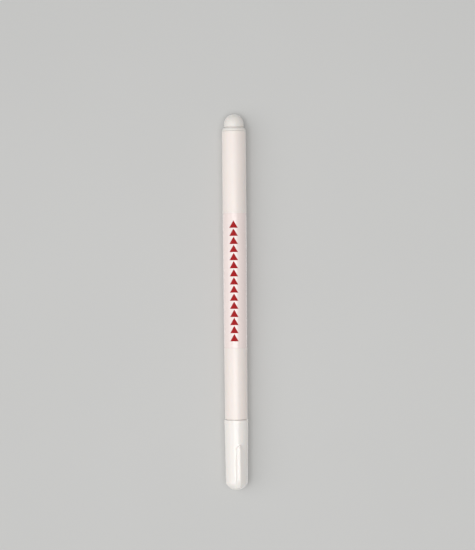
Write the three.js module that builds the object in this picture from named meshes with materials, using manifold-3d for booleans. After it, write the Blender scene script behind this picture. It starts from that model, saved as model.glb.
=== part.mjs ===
// A water-erasable marking pen for fabric, lying on a table with its cap on.
// Lengths are in millimetres. The pen's axis runs along Y with the cap towards -Y, and +Z is up.
// Inside each outline, places along the axis are counted from the barrel's shoulder, where the cap's
// mouth meets it: more is nearer the rear plug, and less is nearer the writing tip.
import * as THREE from "three";
import { mergeVertices } from "three/addons/utils/BufferGeometryUtils.js";
import Module from "manifold-3d";

const wasm = await Module();
wasm.setup();

// Facets
const SIDES = 48; // round the outer pieces; one of them faces the table
const INNER_SIDES = 32; // round the small inner pieces
const PLUG_DOME_STEPS = 10; // along the plug's dome, from its edge to its top
const CAP_DOME_STEPS = 8;
const HOLLOW_STEPS = 6; // along the round end of a hollow
const ROUNDING_STEPS = 4; // along a rounded edge or corner
const RIB_END_STEPS = 5; // along the rib's bend over the dome
const NOSE_STEPS = 7; // along the nose cone's side
const BALL_SIDES = 16;
const BALL_RINGS = 12;

// Gaps and moulded edges
const PRESS_GAP = 0.05; // radial gap where a real piece is pressed in
const SEAT_GAP = 0.05; // gap between two faces that rest on each other
const GLUE_LINE = 0.02; // adhesive under a film
const EDGE = 0.15; // width of a softened edge
const LEAD_IN = 0.3; // width of a chamfer that guides a piece in

// Barrel
const BARREL_LENGTH = 110.95; // shoulder to rear end
const BARREL_RADIUS = 4.6; // straight rear stretch
const BARREL_SHOULDER_RADIUS = 4.37; // thin end of the taper
const BARREL_TAPER_LENGTH = 82.6;
const BARREL_BORE_RADIUS = 3.7;
const SHOULDER_WALL = 1.0; // floor of the bore, behind the shoulder
const GUIDE_RIB_COUNT = 4; // ribs in the bore that centre the reservoir
const GUIDE_RIB_WIDTH = 0.6;
const GUIDE_RIB_SETBACK = 1.0; // from the rear plug's prongs

// Neck of the barrel, which the cap slides over
const NECK_LENGTH = 8.5;
const NECK_RADIUS = 3.7;
const SNAP_PLACE = 4.2; // from the shoulder to the middle of the snap bead
const SNAP_WIDTH = 0.9;
const SNAP_HEIGHT = 0.06;

// Label
const LABEL_START = 27.45;
const LABEL_LENGTH = 51.9;
const LABEL_FILM = 0.05;

// Rear plug
const PLUG_SEAM = 0.1; // joint line between flange and barrel
const PLUG_FLANGE_RADIUS = 4.53;
const PLUG_FLANGE_THICKNESS = 0.9;
const PLUG_FLANGE_ROUNDING = 0.7;
const PLUG_GROOVE_SETBACK = 0.35; // from the flange
const PLUG_GROOVE_WIDTH = 0.28;
const PLUG_GROOVE_DEPTH = 0.14;
const PLUG_COLLAR_LENGTH = 1.9; // straight stretch between flange and dome, groove included
const PLUG_DOME_RADIUS = 3.8;
const PLUG_SPIGOT_LENGTH = 7.5;
const PLUG_SPIGOT_PLAY = 0.2; // radial play that the crush ribs take up
const PLUG_WALL = 0.9;
const CRUSH_RIB_COUNT = 6;
const CRUSH_RIB_WIDTH = 0.5;
const PRONG_LENGTH = 9.0; // prongs that press on the reservoir
const PRONG_COUNT = 3;
const PRONG_SLOT_WIDTH = 3.0;

// Ink reservoir, its film and the wick
const RESERVOIR_RADIUS = 3.1;
const RESERVOIR_LEDGE = 0.3; // how far the reservoir's front end sits on the shoulder's floor
const FILM_THICKNESS = 0.08;
const WICK_RADIUS = 0.8;
const WICK_DEPTH = 5.0; // how far the wick reaches into the reservoir
const WICK_STEM_RADIUS = 0.55; // in the metal tip's shank
const WICK_POINT_RADIUS = 0.33; // in the metal tip's throat

// Nose cone
const NOSE_LENGTH = 10.07; // the cone, in front of its flange
const NOSE_PLUG_LENGTH = 5.5;
const NOSE_FLANGE_INSET = 0.3; // flange against neck, in radius
const NOSE_FLANGE_THICKNESS = 0.75;
const NOSE_BASE_RADIUS = 2.85;
const NOSE_END_RADIUS = 1.35;
const NOSE_BULGE = 0.2; // how far the cone's side swells over a straight line
const NOSE_CORE_RADIUS = 1.7; // hollow round the wick
const NOSE_CORE_LENGTH = 10.5;
const VENT_COUNT = 3; // grooves that let air in as ink leaves
const VENT_WIDTH = 0.6;
const VENT_DEPTH = 0.35;

// Metal tip and ball
const BALL_RADIUS = 0.5;
const BALL_PLAY = 0.03;
const BALL_LIP_REACH = 0.22; // the rolled lip's reach past the ball's middle
const TIP_LENGTH = 4.0; // nose cone to lip
const TIP_RADIUS = 1.1;
const TIP_COLLAR_LENGTH = 0.9;
const TIP_SHANK_RADIUS = 0.95;
const TIP_SHANK_LENGTH = 3.0;
const TIP_BORE_RADIUS = 0.62;
const TIP_THROAT_RADIUS = 0.38;
const TIP_THROAT_LENGTH = 1.4;
const TIP_LIP_WALL = 0.05;
const TIP_SOCKET_WALL = 0.14;

// Cap, which is as long as the writing end and the liner in it need
const CAP_SEAM = 0.15; // joint line between the cap's mouth and the shoulder
const CAP_LIP_LENGTH = 1.5;
const CAP_LIP_STEP = 0.05;
const CAP_FIT = 0.08; // radial play over the neck
const CAP_END_RADIUS = 4.22; // side wall, where the dome begins
const CAP_DOME_RADIUS = 4.63;
const CAP_END_WALL = 1.6;
const CAP_CAVITY_RADIUS = 3.4; // room for the liner
const CAP_CAVITY_DRAFT = 0.1; // how much that room narrows towards its floor
const CAP_CAVITY_ROUNDING = 2.0; // length of the cavity's round corner
const NECK_ROOM = 0.85; // between the nose cone's flange and the cavity's step

// Rib along the cap, which keeps the pen from rolling
const RIB_WIDTH = 1.35;
const RIB_TOP_RADIUS = 5.15;
const RIB_ROOT_RADIUS = 4.0;
const RIB_START = 9.7; // from the cap's mouth
const RIB_SLANT = 1.4; // length of its obliquely cut end
const RIB_END = 1.1; // from the top of the dome
const RIB_ROOT_COVER = 0.4; // how deep its root lies under the dome
const RIB_TURN = THREE.MathUtils.degToRad(8);

// Liner and seal pad
const LINER_WALL = 0.55;
const LINER_END_RADIUS = 1.8;
const LINER_SETBACK = 0.4; // its mouth, from the cavity's step
const LINER_FLANGE_LENGTH = 1.2;
const LINER_RIB_COUNT = 4;
const LINER_RIB_WIDTH = 0.6;
const PAD_THICKNESS = 1.4;
const PAD_RIM = 0.35; // height of its rim round the ball
const PAD_CUP_RADIUS = 1.2;

// Places along the axis, from the neck's end to the tip
const noseFlangeSeat = -NECK_LENGTH - SEAT_GAP;
const noseFlangeFront = noseFlangeSeat - NOSE_FLANGE_THICKNESS;
const nosePlugRear = NOSE_PLUG_LENGTH - NECK_LENGTH;
const noseEnd = noseFlangeFront - NOSE_LENGTH;
const tipSeat = noseEnd + TIP_SHANK_LENGTH;
const tipLip = noseEnd - TIP_LENGTH;
const ballMiddle = tipLip + BALL_LIP_REACH;

// Places in the cap, from the ball to the cap's end
const padFace = ballMiddle - BALL_RADIUS - SEAT_GAP;
const padBack = padFace - PAD_THICKNESS;
const linerFloor = padBack - SEAT_GAP;
const linerEnd = linerFloor - LINER_WALL;
const capFloor = linerEnd - SEAT_GAP;
const capEnd = capFloor - CAP_END_WALL;
const capDomeMiddle = capEnd + CAP_DOME_RADIUS;
const cavityStep = noseFlangeFront - NECK_ROOM;
const linerMouth = cavityStep - LINER_SETBACK;

// Places along the axis, towards the rear
const flangeFront = BARREL_LENGTH + PLUG_SEAM;
const flangeRear = flangeFront + PLUG_FLANGE_THICKNESS;
const plugDomeMiddle = flangeRear + PLUG_COLLAR_LENGTH;
const plugTop = plugDomeMiddle + PLUG_DOME_RADIUS;
const spigotFront = flangeFront - PLUG_SPIGOT_LENGTH;
const prongFront = spigotFront - PRONG_LENGTH;
const reservoirFront = SHOULDER_WALL + SEAT_GAP;
const reservoirRear = prongFront - SEAT_GAP;
const wickRear = reservoirFront + WICK_DEPTH;

// Radii that follow from their neighbours
const neckBore = RESERVOIR_RADIUS - RESERVOIR_LEDGE;
const filmInside = RESERVOIR_RADIUS + GLUE_LINE;
const filmOutside = filmInside + FILM_THICKNESS;
const wickBore = WICK_RADIUS + PRESS_GAP;
const capBore = NECK_RADIUS + CAP_FIT;
const capLipRadius = BARREL_RADIUS; // the pen lies level on both
const spigotRadius = BARREL_BORE_RADIUS - PLUG_SPIGOT_PLAY;
const plugHollow = spigotRadius - PLUG_WALL;
const socketRadius = BALL_RADIUS + BALL_PLAY;
const linerEndOutside = LINER_END_RADIUS + LINER_WALL;

// The height of the flat facet's middle over a turned piece's axis, per unit of radius.
const FLAT = Math.cos(Math.PI / SIDES);
const QUARTER = Math.PI / 2;

// A piece turned about the axis. Its outline is a list of [radius, place along the axis], with the
// solid on the left, and it closes on itself or starts and ends on the axis.
function turned(outline, sides = SIDES) {
  const points = outline.map(([radius, along]) => new THREE.Vector2(radius, along));
  return new THREE.LatheGeometry(points, sides, Math.PI / sides);
}

// Points on an ellipse in the outline's plane, by angle from the radial direction. Its half-axes are
// its reach in radius and along the axis.
function ellipseArc(middle, [reach, reachAlong], from, to, steps) {
  return Array.from({ length: steps + 1 }, (_, step) => {
    const angle = from + ((to - from) * step) / steps;
    return [middle[0] + reach * Math.cos(angle), middle[1] + reachAlong * Math.sin(angle)];
  });
}

function arc(middle, radius, from, to, steps) {
  return ellipseArc(middle, [radius, radius], from, to, steps);
}

// A low rounded bead, or a groove where its height is negative, from its low end to its high end.
function bead(radius, height, middle, width) {
  return [
    [radius, middle - width / 2],
    [radius + height, middle - width / 4],
    [radius + height, middle + width / 4],
    [radius, middle + width / 2],
  ];
}

// The value at a place on a straight line between two [place, value] ends.
function between(place, [firstPlace, first], [lastPlace, last]) {
  return first + ((last - first) * (place - firstPlace)) / (lastPlace - firstPlace);
}

// A block that stands along the axis, between two radii and two places, turned by an angle.
function blade(width, innerRadius, outerRadius, from, to, angle) {
  const block = new THREE.BoxGeometry(width, to - from, outerRadius - innerRadius);
  block.translate(0, (from + to) / 2, (innerRadius + outerRadius) / 2);
  return block.rotateY(angle);
}

// Equal angles round the axis, the first of them half a step on.
function anglesFor(count) {
  return Array.from({ length: count }, (_, index) => ((index + 0.5) * 2 * Math.PI) / count);
}

// A closed geometry as a solid that can be joined and cut.
function solidOf(geometry) {
  const bare = geometry.clone();
  bare.deleteAttribute("normal");
  bare.deleteAttribute("uv");
  const merged = mergeVertices(bare);
  return new wasm.Manifold(
    new wasm.Mesh({
      numProp: 3,
      vertProperties: merged.attributes.position.array,
      triVerts: new Uint32Array(merged.index.array),
    }),
  );
}

// A solid as a geometry again.
function geometryOf(solid) {
  const { vertProperties, triVerts } = solid.getMesh();
  const geometry = new THREE.BufferGeometry();
  geometry.setAttribute("position", new THREE.BufferAttribute(vertProperties, 3));
  geometry.setIndex(new THREE.BufferAttribute(triVerts, 1));
  geometry.computeVertexNormals();
  return geometry;
}

function joined(base, pieces) {
  const whole = pieces.reduce((solid, piece) => solid.add(solidOf(piece)), solidOf(base));
  return geometryOf(whole);
}

function cut(base, pieces) {
  const rest = pieces.reduce((solid, piece) => solid.subtract(solidOf(piece)), solidOf(base));
  return geometryOf(rest);
}

function barrelRadiusAt(along) {
  if (along >= BARREL_TAPER_LENGTH) {
    return BARREL_RADIUS;
  }
  return between(along, [0, BARREL_SHOULDER_RADIUS], [BARREL_TAPER_LENGTH, BARREL_RADIUS]);
}

// A ring that follows the barrel's taper where the label lies, between two heights over its surface.
function labelRing(lower, upper) {
  const labelEnd = LABEL_START + LABEL_LENGTH;
  const places = [LABEL_START, BARREL_TAPER_LENGTH, labelEnd];
  const kept = places.filter((along) => along >= LABEL_START && along <= labelEnd);
  const outside = kept.map((along) => [barrelRadiusAt(along) + upper, along]);
  const inside = kept.map((along) => [barrelRadiusAt(along) + lower, along]).reverse();
  return turned([...outside, ...inside, outside[0]]);
}

// The tube with its neck at the front. The film lies flush in a shallow seat, and ribs in the bore
// hold the reservoir in the middle, with air beside it.
function barrel() {
  const rearLip = BARREL_LENGTH - EDGE;
  const tube = turned([
    [neckBore, -NECK_LENGTH],
    [NECK_RADIUS - LEAD_IN, -NECK_LENGTH],
    [NECK_RADIUS, LEAD_IN - NECK_LENGTH],
    ...bead(NECK_RADIUS, SNAP_HEIGHT, -SNAP_PLACE, SNAP_WIDTH),
    [NECK_RADIUS, 0],
    [BARREL_SHOULDER_RADIUS - EDGE, 0],
    [barrelRadiusAt(EDGE), EDGE],
    [BARREL_RADIUS, BARREL_TAPER_LENGTH],
    [BARREL_RADIUS, rearLip],
    [BARREL_RADIUS - EDGE, BARREL_LENGTH],
    [BARREL_BORE_RADIUS + LEAD_IN, BARREL_LENGTH],
    [BARREL_BORE_RADIUS, BARREL_LENGTH - LEAD_IN],
    [BARREL_BORE_RADIUS, SHOULDER_WALL],
    [neckBore, SHOULDER_WALL],
    [neckBore, -NECK_LENGTH],
  ]);
  const ribRoot = (BARREL_BORE_RADIUS + BARREL_SHOULDER_RADIUS) / 2;
  const ribFront = SHOULDER_WALL / 2;
  const ribRear = prongFront - GUIDE_RIB_SETBACK;
  const ribs = anglesFor(GUIDE_RIB_COUNT).map((angle) =>
    blade(GUIDE_RIB_WIDTH, filmOutside + PRESS_GAP, ribRoot, ribFront, ribRear, angle),
  );
  const seat = labelRing(-LABEL_FILM - GLUE_LINE, EDGE);
  return cut(joined(tube, ribs), [seat]);
}

function barrelLabel() {
  return labelRing(-LABEL_FILM, 0);
}

// The end plug: a dome on a grooved collar, a rounded flange that closes the barrel, and a hollow
// spigot whose crush ribs grip the bore and whose prongs press on the reservoir.
function rearPlug() {
  const grooveRadius = PLUG_DOME_RADIUS - PLUG_GROOVE_DEPTH;
  const grooveFront = flangeRear + PLUG_GROOVE_SETBACK;
  const grooveRear = grooveFront + PLUG_GROOVE_WIDTH;
  const roundingMiddle = [PLUG_FLANGE_RADIUS - PLUG_FLANGE_ROUNDING, flangeRear - PLUG_FLANGE_ROUNDING];
  const body = turned([
    ...arc([0, plugDomeMiddle], plugHollow, QUARTER, 0, HOLLOW_STEPS),
    [plugHollow, prongFront],
    [spigotRadius - LEAD_IN, prongFront],
    [spigotRadius, prongFront + LEAD_IN],
    [spigotRadius, flangeFront],
    [PLUG_FLANGE_RADIUS - EDGE, flangeFront],
    [PLUG_FLANGE_RADIUS, flangeFront + EDGE],
    ...arc(roundingMiddle, PLUG_FLANGE_ROUNDING, 0, QUARTER, ROUNDING_STEPS),
    [PLUG_DOME_RADIUS, flangeRear],
    [PLUG_DOME_RADIUS, grooveFront],
    [grooveRadius, grooveFront],
    [grooveRadius, grooveRear - PLUG_GROOVE_DEPTH],
    [PLUG_DOME_RADIUS, grooveRear],
    ...arc([0, plugDomeMiddle], PLUG_DOME_RADIUS, 0, QUARTER, PLUG_DOME_STEPS),
  ]);
  const ribTop = BARREL_BORE_RADIUS * FLAT - PRESS_GAP;
  const ribs = anglesFor(CRUSH_RIB_COUNT).map((angle) =>
    blade(CRUSH_RIB_WIDTH, spigotRadius - LEAD_IN, ribTop, spigotFront, flangeFront - EDGE, angle),
  );
  const slots = anglesFor(PRONG_COUNT).map((angle) =>
    blade(PRONG_SLOT_WIDTH, 0, BARREL_BORE_RADIUS, prongFront - EDGE, spigotFront, angle),
  );
  return cut(joined(body, ribs), slots);
}

function inkReservoir() {
  const holeEnd = wickRear + SEAT_GAP;
  return turned(
    [
      [0, holeEnd],
      [wickBore, holeEnd],
      [wickBore, reservoirFront],
      [RESERVOIR_RADIUS - EDGE, reservoirFront],
      [RESERVOIR_RADIUS, reservoirFront + EDGE],
      [RESERVOIR_RADIUS, reservoirRear - EDGE],
      [RESERVOIR_RADIUS - EDGE, reservoirRear],
      [0, reservoirRear],
    ],
    INNER_SIDES,
  );
}

function reservoirFilm() {
  return turned(
    [
      [filmInside, reservoirFront],
      [filmOutside, reservoirFront],
      [filmOutside, reservoirRear],
      [filmInside, reservoirRear],
      [filmInside, reservoirFront],
    ],
    INNER_SIDES,
  );
}

// The cone's side, which swells a little over a straight line.
function noseRadiusAt(along) {
  const share = (along - noseEnd) / (noseFlangeFront - noseEnd);
  const straight = NOSE_END_RADIUS + (NOSE_BASE_RADIUS - NOSE_END_RADIUS) * share;
  return straight + 4 * NOSE_BULGE * share * (1 - share);
}

function noseSide() {
  return Array.from({ length: NOSE_STEPS + 1 }, (_, step) => {
    const along = between(step, [0, noseEnd + EDGE], [NOSE_STEPS, noseFlangeFront]);
    return [noseRadiusAt(along), along];
  });
}

// The moulding that carries the tip: a plug in the neck, a flange on the neck's end and a hollow
// cone. Grooves along the plug and behind the flange let air into the barrel.
function noseCone() {
  const plugRadius = neckBore - PRESS_GAP;
  const flangeRadius = NECK_RADIUS - NOSE_FLANGE_INSET;
  const tipHole = TIP_SHANK_RADIUS + PRESS_GAP;
  const coreFront = nosePlugRear - NOSE_CORE_LENGTH;
  const body = turned([
    [tipHole, noseEnd],
    [NOSE_END_RADIUS - EDGE, noseEnd],
    ...noseSide(),
    [flangeRadius, noseFlangeFront],
    [flangeRadius, noseFlangeSeat],
    [plugRadius, noseFlangeSeat],
    [plugRadius, nosePlugRear - LEAD_IN],
    [plugRadius - LEAD_IN, nosePlugRear],
    [NOSE_CORE_RADIUS, nosePlugRear],
    [NOSE_CORE_RADIUS, coreFront],
    [wickBore, coreFront - LEAD_IN],
    [wickBore, tipSeat],
    [tipHole, tipSeat],
    [tipHole, noseEnd],
  ]);
  const grooveFront = noseFlangeSeat - VENT_DEPTH;
  const grooveRear = nosePlugRear + EDGE;
  const vents = anglesFor(VENT_COUNT).map((angle) =>
    blade(VENT_WIDTH, plugRadius - VENT_DEPTH, NECK_RADIUS, grooveFront, grooveRear, angle),
  );
  return cut(body, vents);
}

// The metal tip: a shank in the nose cone, a collar on its end and a turned cone whose rolled lip
// holds the ball in a round socket.
function tipSocket() {
  const collarSeat = noseEnd - SEAT_GAP;
  const shankRear = tipSeat - SEAT_GAP;
  const throatRear = ballMiddle + TIP_THROAT_LENGTH;
  const lipAngle = -Math.asin(BALL_LIP_REACH / socketRadius);
  const seatAngle = Math.acos(TIP_THROAT_RADIUS / socketRadius);
  const lipRadius = socketRadius * Math.cos(lipAngle);
  return turned(
    [
      [lipRadius, tipLip],
      [lipRadius + TIP_LIP_WALL, tipLip],
      [socketRadius + TIP_SOCKET_WALL, ballMiddle],
      [TIP_RADIUS, collarSeat - TIP_COLLAR_LENGTH],
      [TIP_RADIUS, collarSeat],
      [TIP_SHANK_RADIUS, collarSeat],
      [TIP_SHANK_RADIUS, shankRear],
      [TIP_BORE_RADIUS, shankRear],
      [TIP_BORE_RADIUS, throatRear],
      [TIP_THROAT_RADIUS, throatRear - EDGE],
      ...arc([0, ballMiddle], socketRadius, seatAngle, lipAngle, HOLLOW_STEPS),
    ],
    INNER_SIDES,
  );
}

function writingBall() {
  const ball = new THREE.SphereGeometry(BALL_RADIUS, BALL_SIDES, BALL_RINGS);
  return ball.translate(0, ballMiddle, 0);
}

// The wick: a rod in the reservoir and the nose cone that steps down to a point behind the ball.
function feedWick() {
  const front = ballMiddle + socketRadius;
  const throatRear = ballMiddle + TIP_THROAT_LENGTH;
  return turned(
    [
      [0, front],
      [WICK_POINT_RADIUS, front],
      [WICK_POINT_RADIUS, throatRear],
      [WICK_STEM_RADIUS, throatRear + EDGE],
      [WICK_STEM_RADIUS, tipSeat],
      [WICK_RADIUS, tipSeat + EDGE],
      [WICK_RADIUS, wickRear - EDGE],
      [WICK_RADIUS - EDGE, wickRear],
      [0, wickRear],
    ],
    INNER_SIDES,
  );
}

// The rib along the cap: one outline from the side, whose end follows the dome, and one from above,
// whose front end is cut obliquely. The rib is what both have in common.
function capRib() {
  const top = -CAP_SEAM - RIB_START;
  const bottom = capEnd + RIB_END;
  const drop = capDomeMiddle - bottom;
  const middle = [0, capDomeMiddle];
  const topBend = -Math.asin(drop / RIB_TOP_RADIUS);
  const outerArc = arc(middle, RIB_TOP_RADIUS, topBend, 0, RIB_END_STEPS);
  const rootArcRadius = CAP_DOME_RADIUS - RIB_ROOT_COVER;
  const rootStart = -Math.acos(RIB_ROOT_RADIUS / rootArcRadius);
  const rootBend = -Math.asin(drop / rootArcRadius);
  const rootArc = arc(middle, rootArcRadius, rootStart, rootBend, RIB_END_STEPS);
  const sideShape = new THREE.Shape([
    ...outerArc.map(([radius, along]) => new THREE.Vector2(radius, along)),
    new THREE.Vector2(RIB_TOP_RADIUS, top),
    new THREE.Vector2(RIB_ROOT_RADIUS, top),
    ...rootArc.map(([radius, along]) => new THREE.Vector2(radius, along)),
  ]);
  const side = new THREE.ExtrudeGeometry(sideShape, { depth: RIB_WIDTH * 2, bevelEnabled: false });
  side.translate(0, 0, -RIB_WIDTH);
  side.rotateY(-QUARTER);
  const planShape = new THREE.Shape([
    new THREE.Vector2(-RIB_WIDTH / 2, bottom - RIB_WIDTH),
    new THREE.Vector2(RIB_WIDTH / 2, bottom - RIB_WIDTH),
    new THREE.Vector2(RIB_WIDTH / 2, top),
    new THREE.Vector2(-RIB_WIDTH / 2, top - RIB_SLANT),
  ]);
  const plan = new THREE.ExtrudeGeometry(planShape, { depth: 2 * RIB_TOP_RADIUS, bevelEnabled: false });
  const rib = geometryOf(solidOf(side).intersect(solidOf(plan)));
  return rib.rotateY(RIB_TURN);
}

// The cap: a lip band at the mouth, a side that narrows to the domed end, and a cavity that steps
// in behind the neck to hold the liner.
function capShell() {
  const mouth = -CAP_SEAM;
  const lipBottom = mouth - CAP_LIP_LENGTH;
  const sideTop = capLipRadius - CAP_LIP_STEP;
  const domeEdge = -Math.acos(CAP_END_RADIUS / CAP_DOME_RADIUS);
  const floorRadius = linerEndOutside + 2 * PRESS_GAP;
  const cornerMiddle = [floorRadius, capFloor + CAP_CAVITY_ROUNDING];
  const cornerReach = [CAP_CAVITY_RADIUS - CAP_CAVITY_DRAFT - floorRadius, CAP_CAVITY_ROUNDING];
  const shell = turned([
    ...arc([0, capDomeMiddle], CAP_DOME_RADIUS, -QUARTER, domeEdge, CAP_DOME_STEPS),
    [sideTop, lipBottom - CAP_LIP_STEP],
    [capLipRadius, lipBottom],
    [capLipRadius, mouth - EDGE],
    [capLipRadius - EDGE, mouth],
    [capBore + LEAD_IN, mouth],
    [capBore, mouth - LEAD_IN],
    ...bead(capBore, SNAP_HEIGHT, -SNAP_PLACE, SNAP_WIDTH + 2 * CAP_FIT).reverse(),
    [capBore, cavityStep],
    [CAP_CAVITY_RADIUS, cavityStep - EDGE],
    ...ellipseArc(cornerMiddle, cornerReach, 0, -QUARTER, ROUNDING_STEPS),
    [0, capFloor],
  ]);
  return joined(shell, [capRib()]);
}

// The liner: a tapered cup whose mouth seals round the nose cone. Its flange and its ribs hold it in
// the middle of the cap, and its hollow is cut last, so that no rib stands in it.
function innerCap() {
  const mouthInside = noseRadiusAt(linerMouth) + PRESS_GAP;
  const flangeEnd = linerMouth - LINER_FLANGE_LENGTH;
  const insideAt = (along) => between(along, [linerFloor, LINER_END_RADIUS], [linerMouth, mouthInside]);
  const flangeRadius = CAP_CAVITY_RADIUS - CAP_CAVITY_DRAFT - PRESS_GAP;
  const outside = turned([
    [0, linerEnd],
    [linerEndOutside - EDGE, linerEnd],
    [linerEndOutside, linerEnd + EDGE],
    [insideAt(flangeEnd) + LINER_WALL, flangeEnd],
    [flangeRadius, flangeEnd],
    [flangeRadius, linerMouth],
    [0, linerMouth],
  ]);
  const ribTop = flangeRadius * FLAT - PRESS_GAP;
  const ribEnd = capFloor + CAP_CAVITY_ROUNDING;
  const ribs = anglesFor(LINER_RIB_COUNT).map((angle) =>
    blade(LINER_RIB_WIDTH, LINER_END_RADIUS, ribTop, ribEnd, flangeEnd + EDGE, angle),
  );
  const hollow = turned([
    [0, linerFloor],
    [LINER_END_RADIUS, linerFloor],
    [mouthInside, linerMouth],
    [mouthInside, linerMouth + EDGE],
    [0, linerMouth + EDGE],
  ]);
  return cut(joined(outside, ribs), [hollow]);
}

function tipSealPad() {
  const padRadius = LINER_END_RADIUS - PRESS_GAP;
  return turned(
    [
      [0, padBack],
      [padRadius, padBack],
      [padRadius, padFace + PAD_RIM],
      [PAD_CUP_RADIUS, padFace + PAD_RIM],
      [PAD_CUP_RADIUS - PAD_RIM, padFace],
      [0, padFace],
    ],
    INNER_SIDES,
  );
}

function mesh(name, geometry, finish) {
  const made = new THREE.Mesh(geometry, new THREE.MeshStandardMaterial(finish));
  made.name = name;
  return made;
}

const PEARL = { color: 0xf3ebe4, roughness: 0.3, metalness: 0 };
const WHITE = { color: 0xf6f2ec, roughness: 0.25, metalness: 0 };
const PLUG_WHITE = { color: 0xe6e2dc, roughness: 0.35, metalness: 0 };
const LABEL_SATIN = { color: 0xe4d6d0, roughness: 0.4, metalness: 0 };
const NATURAL = { color: 0xece8dc, roughness: 0.45, metalness: 0 };
const NICKEL = { color: 0xc9c6bf, roughness: 0.25, metalness: 1 };
const CARBIDE = { color: 0x8f8f92, roughness: 0.15, metalness: 1 };
const FIBRE = { color: 0xf4f2ea, roughness: 0.95, metalness: 0 };
const CLEAR_FILM = { color: 0xe9eef0, roughness: 0.2, metalness: 0 };
const SOFT_SEAL = { color: 0xd8d6d0, roughness: 0.7, metalness: 0 };

const body = new THREE.Group();
body.add(
  mesh("barrel", barrel(), PEARL),
  mesh("barrel_label", barrelLabel(), LABEL_SATIN),
  mesh("rear_plug", rearPlug(), PLUG_WHITE),
  mesh("nose_cone", noseCone(), NATURAL),
  mesh("tip_socket", tipSocket(), NICKEL),
  mesh("feed_wick", feedWick(), FIBRE),
  mesh("ink_reservoir", inkReservoir(), FIBRE),
  mesh("reservoir_film", reservoirFilm(), CLEAR_FILM),
);

const cap = new THREE.Group();
cap.add(
  mesh("cap_shell", capShell(), WHITE),
  mesh("inner_cap", innerCap(), NATURAL),
  mesh("tip_seal_pad", tipSealPad(), SOFT_SEAL),
);

// The pen lies along Y with its middle over the origin and its lowest facet on the table.
const pen = new THREE.Group();
pen.add(body, cap, mesh("writing_ball", writingBall(), CARBIDE));
pen.position.set(0, -(plugTop + capEnd) / 2, BARREL_RADIUS * FLAT);

export default pen;
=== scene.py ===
"""A water-erasable fabric pen that lies on a table with its cap on.

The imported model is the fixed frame. Round it, each piece of the pen is worked out as one fine
closed surface with its own procedural finish. A point of an outline is the radius from the pen's
axis and the place along it, which is the frame's Y. All lengths are in metres.
"""

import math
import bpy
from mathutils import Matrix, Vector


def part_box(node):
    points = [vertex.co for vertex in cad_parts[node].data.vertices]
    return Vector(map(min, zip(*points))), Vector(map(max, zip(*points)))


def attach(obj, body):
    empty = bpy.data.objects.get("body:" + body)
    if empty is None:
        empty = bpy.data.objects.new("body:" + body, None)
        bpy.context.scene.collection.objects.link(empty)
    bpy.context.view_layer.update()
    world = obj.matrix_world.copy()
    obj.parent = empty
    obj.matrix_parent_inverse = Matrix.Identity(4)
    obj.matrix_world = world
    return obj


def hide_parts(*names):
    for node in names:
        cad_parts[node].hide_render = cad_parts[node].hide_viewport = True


bl_info = {
    "name": "Fabric pen",
    "version": (1, 0, 0),
    "blender": (4, 5, 0),
    "location": "3D View > Sidebar > Fabric pen",
    "description": "Builds a capped water-erasable fabric pen, piece by piece, and a stage for it",
    "category": "Add Mesh",
}

import bmesh
import bpy
import numpy as np
from bpy.props import FloatProperty, FloatVectorProperty, IntProperty, PointerProperty
from mathutils import Matrix, Vector

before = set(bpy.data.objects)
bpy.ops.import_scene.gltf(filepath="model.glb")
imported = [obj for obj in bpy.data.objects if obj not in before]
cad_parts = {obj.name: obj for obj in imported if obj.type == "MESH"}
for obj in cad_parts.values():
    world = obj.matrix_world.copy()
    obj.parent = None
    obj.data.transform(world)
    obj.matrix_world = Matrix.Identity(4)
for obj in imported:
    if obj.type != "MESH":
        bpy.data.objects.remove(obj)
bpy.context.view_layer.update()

MM = 0.001
QUARTER = math.pi / 2
FULL_TURN = 2 * math.pi
PEN = "pen"
CAP = "cap"
BALL = "ball"


def span(node):
    """The first and the last place of a solid along the pen."""
    low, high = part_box(node)
    return low.y, high.y


# Places along the pen, from the frame
neck_end, barrel_rear = span("barrel")
prong_front, plug_top = span("rear_plug")
label_front, label_rear = span("barrel_label")
cap_apex, cap_mouth = span("cap_shell")
nose_end, nose_plug_rear = span("nose_cone")
tip_lip, tip_rear = span("tip_socket")
wick_front, wick_rear = span("feed_wick")
reservoir_front, reservoir_rear = span("ink_reservoir")
liner_end, liner_mouth = span("inner_cap")
pad_back, pad_rim_top = span("tip_seal_pad")
ball_middle = sum(span("writing_ball")) / 2
AXIS_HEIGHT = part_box("barrel")[1].z / 2

# Fineness of the surfaces
AROUND = 192  # columns round a piece
ARC_STEPS = 6  # rows over an eased corner
DOME_STEPS = 40  # rows from a dome's edge to its top
HOLD = 0.04 * MM  # from an eased corner to the row that keeps the shading off a long side
LONGEST_ROW = 4.0 * MM
FLANK = 0.03 * MM  # width of a steep side between two columns
STEP_HAIR = 0.002 * MM  # half the width of the wall in a step
SAME_POINT = 1e-8  # a shorter side of an outline is dropped
MERGED = 1e-7  # points closer than this become one
SAME_ANGLE = 1e-5  # columns closer than this are one
LEAST_TURN = 1e-4  # a corner that turns less stays as it is
SIDE_SHARE = 0.48  # how much of a side an eased corner may take
SHARP_ANGLE = math.radians(40)  # an edge that turns more keeps a hard shade
RIB_TOP_COLUMNS = 9
CAP_SIDE_ROWS = 29
CAP_REAR_ROWS = 11

# Fits and hidden walls
PRESS_GAP = 0.05 * MM
SEAT_GAP = 0.05 * MM
CAP_SEAM = 0.15 * MM
CAP_FIT = 0.08 * MM
LEAD_IN = 0.3 * MM
SHOULDER_WALL = 1.0 * MM
GLUE_LINE = 0.02 * MM
LABEL_SEAM = 0.03 * MM
LABEL_EDGE = 0.02 * MM
GUIDE_RIBS = 4
GUIDE_RIB_WIDTH = 0.6 * MM
GUIDE_RIB_SETBACK = 1.0 * MM

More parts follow.
